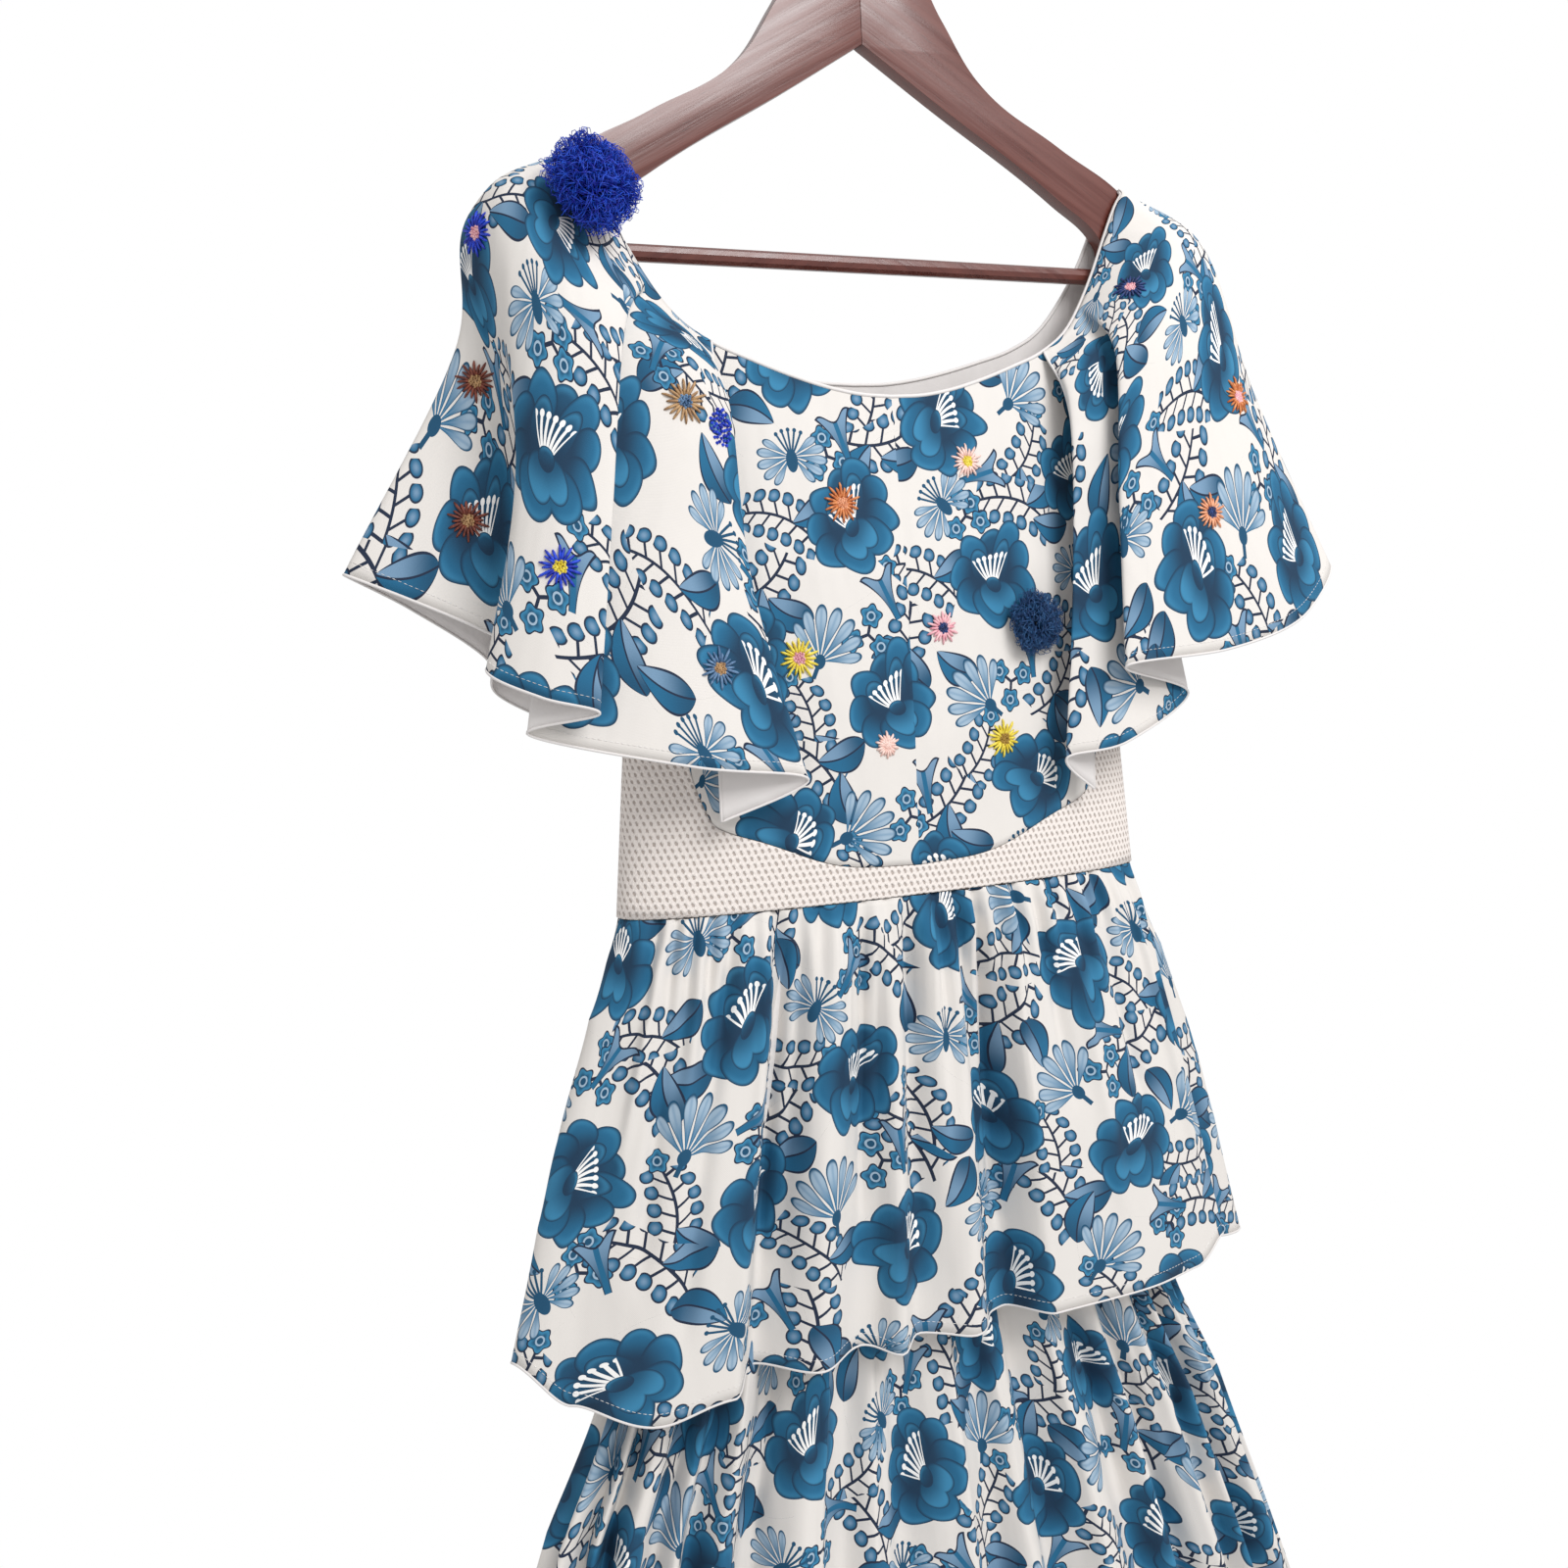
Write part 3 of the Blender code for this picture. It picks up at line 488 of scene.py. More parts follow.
def weaveGroup():  # plain weave: threads over and under, for a place in metres
    group, given = newGroup("weave", "Place:Vector Pitch:Float", "Height:Float")
    x, y, _ = apart(given["Place"] / together(given["Pitch"], given["Pitch"], 1.0))
    over = sine(x * math.pi) * sine(y * math.pi)
    return sealed(group, scaled(over, 0.5, 0.5))


def rumpleGroup():  # soft unevenness of hung cotton
    group, given = newGroup("rumple", "Place:Vector Size:Float", "Height:Float")
    size = together(given["Size"], given["Size"] * 3.0, 1.0)
    return sealed(group, cloudy(given["Place"] / size, 1.0, 1.0))


def crochetGroup():  # rows of stitches with a small slit between each two, staggered
    group, given = newGroup("crochet", "Place:Vector Across:Float Down:Float", "Height:Float Hole:Float")
    x, y, _ = apart(given["Place"])
    rows = y / given["Down"]
    row = rounded(rows)
    columns = scaled(remainder(row, 2.0), 0.5, x / given["Across"])
    a = columns - rounded(columns)
    b = rows - row
    wild = scaled(cloudy(given["Place"] * (170.0, 170.0, 1.0), 5.0), 0.30, -0.15)
    slant = scaled(b, 0.38, a + wild)
    slit = lengthOf(together(slant * 3.6, (b + wild) * 2.0))
    strand = cosine((abs(a) + b * 0.7) * 12.0)
    yarn = scaled(strand, 0.12, fade(slit, 0.35, 1.0) * 0.8)
    return sealed(group, yarn, fade(slit, 0.72, 0.45))


def grainGroup():  # wood grain that runs along each arm
    group, given = newGroup("wood grain", "Place:Vector Slope:Float", "Streak:Float Pore:Float")
    x, y, z = apart(given["Place"])
    along, across, _ = apart(spin(together(abs(x), z), given["Slope"]))
    streak = together(along * 9.0, across * 190.0, y * 120.0)
    pore = together(along * 60.0, across * 1500.0, y * 900.0)
    return sealed(group, cloudy(streak, 1.0, 4.0), cloudy(pore, 1.0, 4.0))


# materials

def newMaterial(name, colour, roughness, metallic=0.0):
    made = bpy.data.materials.new(name)
    made.use_nodes = True
    shader = made.node_tree.nodes["Principled BSDF"]
    for label, value in (("Base Color", colour), ("Roughness", roughness), ("Metallic", metallic)):
        shader.inputs[label].default_value = value
    return made, shader


def addBump(shader, height, depth):
    node = addNode(shader, "Bump")
    node.inputs["Strength"].default_value = 1.0
    node.inputs["Distance"].default_value = depth
    plug(node.inputs["Height"], height)
    plug(shader.inputs["Normal"], Wire(node.outputs["Normal"]))


def placeOn(shader, kind):  # UV is metres along and across the cloth
    return Wire(addNode(shader, "TexCoord").outputs[kind])


cottonLook = {"roughness": 0.86, "thread": 0.00045, "weaveDepth": 0.00007, "rumple": 0.016,
              "rumpleDepth": 0.0016, "wrongSide": "E2DDDA", "low": "DDD8D6", "high": "E8E4E2"}


def cottonMaterial(name, weave, rumple, floral=None):  # printed, or white where there is no floral
    plain = ink("ground") if floral else inkColour(cottonLook["wrongSide"])
    made, shader = newMaterial(name, plain, cottonLook["roughness"])
    place = placeOn(shader, "UV")
    uneven = useGroup(rumple, Place=place, Size=cottonLook["rumple"])["Height"]
    if floral:
        colour = useGroup(floral, Place=place)["Colour"]
    else:
        colour = tint(uneven, inkColour(cottonLook["low"]), inkColour(cottonLook["high"]))
    plug(shader.inputs["Base Color"], colour)
    threads = useGroup(weave, Place=place, Pitch=cottonLook["thread"])["Height"]
    fine = cottonLook["weaveDepth"] / cottonLook["rumpleDepth"]  # the weave over the softer unevenness
    addBump(shader, scaled(threads, fine, uneven), cottonLook["rumpleDepth"])
    return made


# yarn is the crochet's own colour; the shade and hole tones are painted shade: the yarn darkens in the low
# parts between strands, and the slits take a darker tone that stands for the shade seen through them
crochetLook = {"across": 0.0047, "down": 0.0044, "depth": 0.0009, "roughness": 0.92,
               "yarn": "EEE5DF", "shade": "DFD5CE", "hole": "B8ABA3"}


def crochetMaterial(crochet):
    yarn, shade, hole = (inkColour(crochetLook[label]) for label in ("yarn", "shade", "hole"))
    made, shader = newMaterial("cotton crochet", yarn, crochetLook["roughness"])
    height, gap = useGroup(crochet, Place=placeOn(shader, "UV"), Across=crochetLook["across"],
                           Down=crochetLook["down"]).values()
    # painted shade: darker yarn where the stitches dip, and the darker hole tone in the slits
    plug(shader.inputs["Base Color"], tint(gap, tint(fade(height, 0.55, 0.1), yarn, shade), hole))
    addBump(shader, height, crochetLook["depth"])
    return made


threadLook = {"roughness": 0.5, "patches": 320.0, "fibres": 2600.0, "depth": 0.0002}


def threadMaterial(name, dark, light):  # glossy embroidery or pompom thread, uneven in colour
    made, shader = newMaterial(name, inkColour(light), threadLook["roughness"])
    place = placeOn(shader, "Object")
    shade = fade(cloudy(place, threadLook["patches"]), 0.35, 0.65)
    plug(shader.inputs["Base Color"], tint(shade, inkColour(dark), inkColour(light)))
    addBump(shader, cloudy(place, threadLook["fibres"]), threadLook["depth"])
    return made


woodLook = {"slope": 0.52, "dark": "5A2B24", "light": "67342B", "pore": "1E0B0A", "roughness": 0.30,
            "varnish": 0.35, "varnishRoughness": 0.18, "depth": 0.0003}


def woodMaterial(grain):
    dark, light, pore = (inkColour(woodLook[label]) for label in ("dark", "light", "pore"))
    made, shader = newMaterial("varnished wood", light, woodLook["roughness"])
    shader.inputs["Coat Weight"].default_value = woodLook["varnish"]
    shader.inputs["Coat Roughness"].default_value = woodLook["varnishRoughness"]
    lines = useGroup(grain, Place=placeOn(shader, "Object"), Slope=woodLook["slope"])
    streak = fade(lines["Streak"], 0.32, 0.68)
    pores = fade(lines["Pore"], 0.62, 0.72) * 0.6
    plug(shader.inputs["Base Color"], tint(pores, tint(streak, dark, light), pore))
    plug(shader.inputs["Roughness"], scaled(streak, 0.14, woodLook["roughness"] - 0.05))
    addBump(shader, lines["Streak"], woodLook["depth"])
    return made


steelLook = {"tone": (0.62, 0.62, 0.64, 1.0), "dark": "B4B4B8", "light": "D6D6DA", "roughness": 0.2,
             "scratches": 260.0, "depth": 0.00005}


def steelMaterial():
    made, shader = newMaterial("polished steel", steelLook["tone"], steelLook["roughness"], 1.0)
    worn = cloudy(placeOn(shader, "Object"), steelLook["scratches"], 5.0)
    plug(shader.inputs["Roughness"], scaled(worn, 0.25, 0.10))
    shade = tint(fade(worn, 0.3, 0.7), inkColour(steelLook["dark"]), inkColour(steelLook["light"]))
    plug(shader.inputs["Base Color"], shade)
    addBump(shader, worn, steelLook["depth"])
    return made


weave, rumple = weaveGroup(), rumpleGroup()
cotton = cottonMaterial("printed cotton", weave, rumple, printGroup())
whiteCotton = cottonMaterial("plain white cotton", weave, rumple)
crochet = crochetMaterial(crochetGroup())
wood = woodMaterial(grainGroup())
steel = steelMaterial()
print("materials made")


# meshes

def putIn(name, data):
    made = bpy.data.objects.new(name, data)
    bpy.context.scene.collection.objects.link(made)
    return made


def clothSurface(name, rows, flatRows, closed, materials, wall=clothWall):
    # rows of points with a place in the flat cloth for each; flatRows have one more column when closed
    columns, points = len(rows[0]), [point for row in rows for point in row]
    faces, flat = [], []
    for level in range(len(rows) - 1):
        for i in range(columns if closed else columns - 1):
            j = (i + 1) % columns
            here, below = level * columns, (level + 1) * columns
            faces.append((here + i, below + i, below + j, here + j))
            upper, lower = flatRows[level], flatRows[level + 1]
            flat += [upper[i], lower[i], lower[i + 1], upper[i + 1]]
    mesh = bpy.data.meshes.new(name)
    mesh.from_pydata([(p.x, p.y, p.z - hookRise) for p in points], [], faces)
    layer = mesh.uv_layers.new(name="cloth")
    for corner, place in zip(layer.data, flat):
        corner.uv = place
    for material in materials:
        mesh.materials.append(material)
    mesh.shade_smooth()
    made = putIn(name, mesh)
    shell = made.modifiers.new("thickness", "SOLIDIFY")
    shell.thickness = wall
    shell.offset = 0.0
    shell.material_offset = 1
    shell.material_offset_rim = 1
    return made


def tubes(name, paths, radius, sides, material, closed=False):
    # thin round strands in one mesh; each path is a list of points or of (point, share of the radius)
    points, faces = [], []
    for path in paths:
        path = [item if isinstance(item, tuple) else (item, 1.0) for item in path]
        count = len(path)
        side = None
        for k, (point, share) in enumerate(path):
            behind = path[k - 1][0] if (k or closed) else point
            ahead = path[(k + 1) % count][0] if (k + 1 < count or closed) else point
            along = (ahead - behind).normalized()
            side = side if side is not None else along.orthogonal()
            side = (side - along * side.dot(along)).normalized()
            other = along.cross(side)
            for s in range(sides):
                turn = 2.0 * math.pi * s / sides
                spot = point + (side * math.cos(turn) + other * math.sin(turn)) * radius * share
                points.append((spot.x, spot.y, spot.z - hookRise))
        first = len(points) - count * sides
        for k in range(count if closed else count - 1):
            low, high = first + k * sides, first + ((k + 1) % count) * sides
            for s in range(sides):
                t = (s + 1) % sides
                faces.append((low + s, low + t, high + t, high + s))
        if not closed:
            faces.append(tuple(range(first + sides - 1, first - 1, -1)))
            faces.append(tuple(range(first + (count - 1) * sides, first + count * sides)))
    mesh = bpy.data.meshes.new(name)
    mesh.from_pydata(points, [], faces)
    mesh.materials.append(material)
    mesh.shade_smooth()
    return putIn(name, mesh)


def addTo(piece, slot, *nodes):
    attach(piece, "root")
    if nodes:
        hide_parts(*nodes)
    return piece


def rowLengths(row, closed=False):  # how far along the row each point is
    lengths = [0.0]
    points = row + [row[0]] if closed else row
    for a, b in zip(points, points[1:]):
        lengths.append(lengths[-1] + (b - a).length)
    return lengths


# bodice and crochet waist

body = {
    "rings": table("height halfWidth halfDepth", [
        (-0.060, 0.238, 0.009), (-0.140, 0.222, 0.016), (-0.225, 0.205, 0.027),
        (-0.340, 0.189, 0.040), (-0.450, 0.185, 0.044), (-0.553, 0.195, 0.042)]),
    "yokeSeam": table("angle height", [
        (0.0, -0.5335), (14.0, -0.5290), (30.0, -0.5110), (45.0, -0.4960), (52.0, -0.4660),
        (58.0, -0.4250), (66.0, -0.3850), (78.0, -0.3580), (90.0, -0.3500)]),
    "neck": table("share halfWidth height", [
        (0 / 12, 0.0000, -0.2280), (1 / 12, 0.0230, -0.2268), (2 / 12, 0.0460, -0.2225),
        (3 / 12, 0.0700, -0.2155), (4 / 12, 0.0960, -0.2060), (5 / 12, 0.1220, -0.1950),
        (6 / 12, 0.1460, -0.1770), (7 / 12, 0.1700, -0.1400), (8 / 12, 0.1900, -0.0960),
        (9 / 12, 0.1980, -0.0836), (10 / 12, 0.1990, -0.0810), (11 / 12, 0.2130, -0.0890),
        (12 / 12, 0.2270, -0.0970)]),
    "waist": -0.553,
    "underarm": 84.0,
    "backRise": 0.015,
    "strapDepth": 0.0098,
    "strapRoll": 0.012,
    "strapEnd": -0.200,
    "strapFade": 0.040,
    "armTop": 0.031,
    "armSlope": 0.57,
    "armholeBow": 7.0,
    "columns": 112,
    "levels": 84,
    "seamShift": (0.006, 0.003),  # the print doesn't match across the centre seam
}
printSize = {"bodice": 1.08, "flounce": 1.08, "skirt": 1.15}  # how large the print shows on each piece
shoulderShare = 10 / 12
rollShare = 8 / 12
flounceStart = 5 / 12

# soft pulls in the bodice: place, height and size of each, and how far it stands out
bodicePulls = table("x height wide tall out", [
    (0.000, -0.380, 0.0022, 0.20, -0.0011),
    (-0.060, -0.300, 0.016, 0.08, 0.0014),
    (0.052, -0.330, 0.014, 0.11, -0.0013),
    (0.095, -0.300, 0.012, 0.10, 0.0016),
    (-0.030, -0.480, 0.012, 0.05, 0.0012),
    (0.030, -0.470, 0.010, 0.06, -0.0010),
    (-0.105, -0.400, 0.013, 0.10, 0.0014),
    (0.125, -0.440, 0.011, 0.09, -0.0014),
])


def shoulderSeam(x):
    return body["armTop"] - body["armSlope"] * x + 2 * seamGap + cadWall / 2


def ringPoint(halfWidth, halfDepth, angle):
    turn = math.radians(angle)
    side, front = math.sin(turn), math.cos(turn)
    x = halfWidth * math.copysign(abs(side) ** (2 / ringPower), side)
    y = -halfDepth * math.copysign(abs(front) ** (2 / ringPower), front)
    return x, y


def bodyPoint(angle, height, side):
    halfWidth = read(body["rings"], "height", height, "halfWidth")
    halfDepth = read(body["rings"], "height", height, "halfDepth")
    x, y = ringPoint(halfWidth, halfDepth, angle)
    drop = clamp((shoulderSeam(abs(x)) - height) / body["strapRoll"])
    strap = body["strapDepth"] * (1.0 - (1.0 - drop) ** 4) ** 0.25
    strap *= smooth((height - body["strapEnd"]) / body["strapFade"])
    return Vector((x, side * (seamGap / 2 + max(-y, strap)), height))


def angleAt(x, height):
    halfWidth = read(body["rings"], "height", height, "halfWidth")
    return math.degrees(math.asin(min(1.0, abs(x) / halfWidth) ** (ringPower / 2)))


def yokeTop(angle):
    return readSmooth(body["yokeSeam"], "angle", abs(angle), "height")


def bodicePanel(name, side, neckRise):
    levels, columns = body["levels"], body["columns"]
    rows = []
    for level in range(levels + 1):
        up = 1.0 - (level / levels) ** 1.25
        row = []
        for i in range(columns + 1):
            p = 2.0 * i / columns - 1.0
            reach = abs(p)
            lowAngle = body["underarm"] * reach
            topX = readSmooth(body["neck"], "share", reach, "halfWidth")
            top = readSmooth(body["neck"], "share", reach, "height")
            if reach < shoulderShare:
                top += neckRise * (1.0 - smooth(reach / shoulderShare))
            else:
                top = shoulderSeam(topX)
            height = mix(yokeTop(lowAngle) + seamGap / 2, top, up)
            angle = mix(lowAngle, angleAt(topX, top), up)
            angle -= body["armholeBow"] * reach ** 6 * math.sin(math.pi * up)
            point = bodyPoint(angle, height, side)
            point.x = math.copysign(point.x, p)
            calm = smooth((top - height) / 0.05) * smooth(up / 0.15)
            for pull in bodicePulls:
                shape = bump(point.x - pull.x, pull.wide) * bump(height - pull.height, pull.tall)
                point.y += side * pull.out * shape * calm
            row.append(point)
        rows.append(row if side < 0 else row[::-1])
    middle = columns // 2
    flat = []
    for row in rows:
        along = rowLengths(row)
        flat.append([((length - along[middle]) / printSize["bodice"], point.z / printSize["bodice"])
                     for length, point in zip(along, row)])
    made = clothSurface(name, rows, flat, False, [cotton, whiteCotton])
    shift = body["seamShift"]
    for polygon in made.data.polygons:  # the two halves are cut apart at the centre
        if polygon.index % columns >= middle:
            for corner in polygon.loop_indices:
                made.data.uv_layers[0].data[corner].uv += Vector(shift)
    return made, rows


def yokeRows(levels, perSide):
    angles = [mix(-90.0, 270.0, i / (2 * perSide)) for i in range(2 * perSide)]
    rows = []
    for level in range(levels + 1):
        row = []
        for angle in angles:
            side = -1 if angle <= 90.0 else 1
            fromCentre = angle if angle <= 90.0 else 180.0 - angle
            height = mix(yokeTop(abs(fromCentre)) - seamGap / 2, body["waist"], level / levels)
            point = bodyPoint(abs(fromCentre), height, side)
            point.x = math.copysign(point.x, fromCentre)
            if abs(fromCentre) >= 89.0:  # the side seam pulls in
                point.y *= 0.5
            row.append(point)
        rows.append(row)
    return rows


frontBodice, frontRows = bodicePanel("bodice_front_cloth", -1, 0.0)
backBodice, backRows = bodicePanel("bodice_back_cloth", 1, body["backRise"])
for piece, node, cut in ((frontBodice, "bodice_front", 0.124), (backBodice, "bodice_back", 0.127)):
    addTo(piece, "printed_cotton", node)

yokeShape = yokeRows(20, 170)
yokeAround = rowLengths(yokeShape[-1], True)
yokeFlat = [[(length, point.z) for length, point in zip(yokeAround, row + [row[0]])] for row in yokeShape]
yoke = clothSurface("crochet_band", yokeShape, yokeFlat, True, [crochet, crochet], 0.0012)
addTo(yoke, "cotton_crochet", "crochet_yoke")
print("bodice and crochet waist made")


# skirt tiers

tierTop = body["waist"] - 0.0006
upperTier = {
    "rings": table("height halfWidth halfDepth gather", [
        (tierTop, 0.195, 0.042, 0.00), (-0.580, 0.203, 0.047, 0.25), (-0.620, 0.213, 0.049, 0.55),
        (-0.700, 0.234, 0.051, 0.80), (-0.760, 0.249, 0.052, 0.92), (-0.850, 0.270, 0.052, 1.00)]),
    "folds": table("angle out hem", [
        (-84.0, 0.016, -0.822), (-66.0, 0.006, -0.850), (-45.0, 0.014, -0.866), (-31.5, 0.013, -0.857),
        (-26.0, -0.019, -0.851), (-17.0, 0.009, -0.853), (-9.6, -0.010, -0.850), (-5.4, 0.007, -0.855),
        (-2.0, -0.008, -0.850), (3.0, 0.009, -0.853), (10.2, -0.018, -0.850), (15.0, 0.011, -0.851),
        (34.0, 0.014, -0.851), (50.0, 0.009, -0.851), (66.0, 0.006, -0.838), (81.0, -0.032, -0.847),
        (97.0, 0.044, -0.858), (112.0, -0.007, -0.849), (124.0, 0.010, -0.851), (136.0, -0.012, -0.850),
        (149.0, 0.010, -0.853), (160.0, -0.008, -0.851), (171.0, 0.009, -0.853), (182.0, -0.013, -0.850),
        (195.0, 0.011, -0.853), (206.0, -0.009, -0.851), (218.0, 0.010, -0.852), (230.0, -0.012, -0.850),
        (244.0, 0.012, -0.851), (258.0, -0.013, -0.845)]),
    # creases: angle at the top, how far it leans on the way down, first and last level, width, out
    "creases": table("angle lean start end wide out", [
        (-25.6, 0.0, 0.02, 0.88, 1.9, -0.0050), (10.0, 0.0, 0.02, 0.88, 1.7, -0.0046),
        (-9.6, 0.2, 0.02, 0.80, 1.4, -0.0034), (-2.2, 0.2, 0.02, 0.80, 1.3, -0.0030),
        (-60.0, -4.0, 0.02, 0.55, 2.6, 0.0030), (-52.0, -2.0, 0.02, 0.80, 3.4, -0.0034),
        (-40.0, -3.0, 0.05, 0.95, 3.0, -0.0030), (-30.0, 1.0, 0.02, 0.70, 2.0, 0.0026),
        (-21.5, -1.5, 0.02, 0.90, 1.8, -0.0030), (-13.5, -0.5, 0.04, 0.60, 1.5, 0.0028),
        (-7.4, 0.0, 0.02, 1.00, 1.2, -0.0026), (0.2, 0.6, 0.02, 0.85, 1.2, 0.0028),
        (6.5, 0.5, 0.04, 1.00, 1.6, -0.0030), (14.0, 1.0, 0.02, 0.75, 1.8, 0.0026),
        (23.0, 2.0, 0.02, 0.60, 2.4, -0.0030), (29.0, 2.0, 0.05, 0.90, 2.4, 0.0022),
        (41.0, 3.0, 0.02, 0.70, 3.0, -0.0032), (56.0, 4.0, 0.02, 0.85, 3.0, 0.0030),
        (72.0, 2.0, 0.02, 0.60, 3.0, -0.0030), (118.0, 2.0, 0.02, 0.80, 2.4, 0.0030),
        (141.0, 2.0, 0.02, 0.70, 2.2, -0.0028), (155.0, 1.0, 0.05, 0.90, 1.8, 0.0026),
        (176.0, 0.0, 0.02, 0.80, 1.8, -0.0030), (189.0, -1.0, 0.02, 0.95, 1.8, 0.0028),
        (212.0, -2.0, 0.02, 0.75, 2.2, -0.0028), (236.0, -2.0, 0.05, 0.85, 2.4, 0.0030)]),
    "columns": 600,
    "levels": 44,
    "flat": (1.50, 0.30),
}
# how many, how deep and long they are, their share of that depth at the seam, and how soon it's full
waistGathers = {"fine": 87.0, "broad": 41.0, "broadShare": 0.6, "depth": 0.0032, "length": 0.12,
                "seam": 0.50, "start": 0.02}

underskirt = {
    "rings": table("height halfWidth halfDepth gather", [
        (tierTop - 0.001, 0.1900, 0.0370, 0.0), (-0.640, 0.1900, 0.0300, 0.0),
        (-0.775, 0.1900, 0.0200, 0.0)]),
    "creases": [],
    "columns": 96,
    "levels": 12,
    "flat": (0.80, 0.22),
}
lowerTier = {
    "rings": table("height halfWidth halfDepth gather", [
        (-0.7754, 0.1900, 0.0200, 0.20), (-0.800, 0.1980, 0.0220, 0.45), (-0.860, 0.2150, 0.0270, 0.75),
        (-0.950, 0.2540, 0.0380, 1.10), (-1.080, 0.3000, 0.0540, 1.25), (-1.210, 0.3450, 0.0680, 1.25)]),
    "hem": -1.21,
    "hemDip": 0.2,
    # share of the width and depth of each fold, from side to side across the front
    "gathers": table("width depth", [
        (1.40, 0.011), (0.75, 0.007), (1.15, 0.012), (0.65, 0.008), (0.95, 0.010), (1.30, 0.013),
        (0.70, 0.007), (0.90, 0.009), (0.65, 0.008), (1.25, 0.012), (0.75, 0.008), (1.05, 0.011),
        (0.70, 0.007), (1.45, 0.012), (0.85, 0.009)]),
    "creases": table("angle lean start end wide out", [
        (-70.0, -2.0, 0.00, 0.60, 1.6, -0.0030), (-58.0, -1.5, 0.05, 0.95, 1.8, 0.0026),
        (-47.0, -1.0, 0.00, 0.75, 1.4, -0.0028), (-36.0, -1.0, 0.05, 1.00, 1.5, 0.0026),
        (-27.0, -0.5, 0.00, 0.65, 1.3, -0.0028), (-18.0, -0.5, 0.05, 0.90, 1.3, 0.0024),
        (-8.0, 0.0, 0.00, 0.80, 1.2, -0.0026), (2.0, 0.0, 0.05, 1.00, 1.2, 0.0026),
        (11.0, 0.5, 0.00, 0.70, 1.3, -0.0028), (21.0, 0.5, 0.05, 0.95, 1.4, 0.0024),
        (31.0, 1.0, 0.00, 0.60, 1.4, -0.0028), (42.0, 1.0, 0.05, 0.90, 1.6, 0.0026),
        (54.0, 1.5, 0.00, 0.80, 1.6, -0.0028), (66.0, 2.0, 0.05, 1.00, 1.8, 0.0026),
        (118.0, 1.5, 0.00, 0.80, 1.8, -0.0028), (143.0, 0.8, 0.05, 1.00, 1.5, 0.0026),
        (168.0, 0.2, 0.00, 0.70, 1.3, -0.0026), (193.0, -0.4, 0.05, 0.95, 1.4, 0.0026),
        (217.0, -0.9, 0.00, 0.75, 1.6, -0.0028), (241.0, -1.5, 0.05, 0.95, 1.8, 0.0026)]),
    "columns": 640,
    "levels": 44,
    "flat": (2.20, 0.44),
}


def lowerFolds():
    gathers = lowerTier["gathers"] + lowerTier["gathers"][::-1]
    scale = 360.0 / sum(row.width for row in gathers)
    angle, rows = -90.0, []
    for row in gathers:
        spread = row.width * scale
        rows.append((angle, -row.depth, lowerTier["hem"]))
        rows.append((angle + spread / 2, row.depth, lowerTier["hem"] - lowerTier["hemDip"] * row.depth))
        angle += spread
    return table("angle out hem", rows)


def foldAt(folds, angle, column):  # ridges and troughs in turn, joined by soft waves all round
    start = folds[0].angle
    angle = (angle - start) % 360.0 + start
    ring = folds + [folds[0]._replace(angle=start + 360.0)]
    i, share = between(ring, "angle", angle)
    return mix(getattr(ring[i], column), getattr(ring[i + 1], column), smooth(share))


def gatherAt(angle, drop):  # the small gathers that fan out below a gathered seam
    turn = math.radians(angle)
    uneven = 0.45 + 0.75 * abs(math.cos(turn))
    uneven *= 1.0 + 0.35 * math.sin(5.0 * turn) + 0.2 * math.sin(11.0 * turn)
    length = waistGathers["length"] * (1.0 + 0.35 * math.sin(7.0 * turn + 1.0) + 0.25 * math.sin(13.0 * turn))
    left = 1.0 - smooth(drop / length)
    left *= mix(waistGathers["seam"], 1.0, smooth(drop / waistGathers["start"]))
    across = math.sin(turn)  # evenly spaced over the flat front and back, none at the sides
    wave = math.cos(waistGathers["fine"] * across + 1.2 * math.sin(7.0 * turn))
    broad = math.cos(waistGathers["broad"] * across + 2.0 * math.sin(4.0 * turn))
    wave += waistGathers["broadShare"] * broad
    return waistGathers["depth"] * uneven * left * wave


creaseLook = {"depth": 1.9, "startFade": 0.12, "endFade": 0.25, "topWidth": 0.55, "widening": 0.45}


def creaseAt(creases, angle, level):
    out = 0.0
    for row in creases:
        middle = row.angle + row.lean * level
        away = (angle - middle + 180.0) % 360.0 - 180.0
        if abs(away) < 3 * row.wide:
            past = 1.0 if row.end >= 1.0 else 0.0  # a crease that runs to the hem doesn't fade there
            ends = smooth((level - row.start) / creaseLook["startFade"])
            ends *= smooth((row.end - level) / creaseLook["endFade"] + past)
            wide = row.wide * (creaseLook["topWidth"] + creaseLook["widening"] * level)
            out += creaseLook["depth"] * row.out * bump(away, wide) * ends
    return out


def skirtRows(look, folds, gathered):
    rings, levels, columns = look["rings"], look["levels"], look["columns"]
    angles = [360.0 * i / columns - 90.0 for i in range(columns)]
    outs = [foldAt(folds, angle, "out") if folds else 0.0 for angle in angles]
    hems = [foldAt(folds, angle, "hem") if folds else rings[-1].height for angle in angles]
    rows = []
    for k in range(levels + 1):
        level = (k / levels) ** 1.15
        ring = mix(rings[0].height, rings[-1].height, level)
        halfWidth, halfDepth, gather = (readSmooth(rings, "height", ring, column)
                                        for column in ("halfWidth", "halfDepth", "gather"))
        row = []
        for angle, foldOut, hem in zip(angles, outs, hems):
            height = mix(rings[0].height, hem, level)
            x, y = ringPoint(halfWidth, halfDepth, angle)
            nearby = ringPoint(halfWidth, halfDepth, angle + 1.0)
            outward = Vector((nearby[1] - y, x - nearby[0])).normalized()
            out = foldOut * gather + creaseAt(look["creases"], angle, level)
            if gathered:
                drop = rings[0].height - height
                deepest = -0.004 - 0.25 * drop  # troughs stay clear of the underskirt
                out = max(out + gatherAt(angle, drop), deepest)
            row.append(Vector((x + outward.x * out, y + outward.y * out, height)))
        rows.append(row)
    return rows


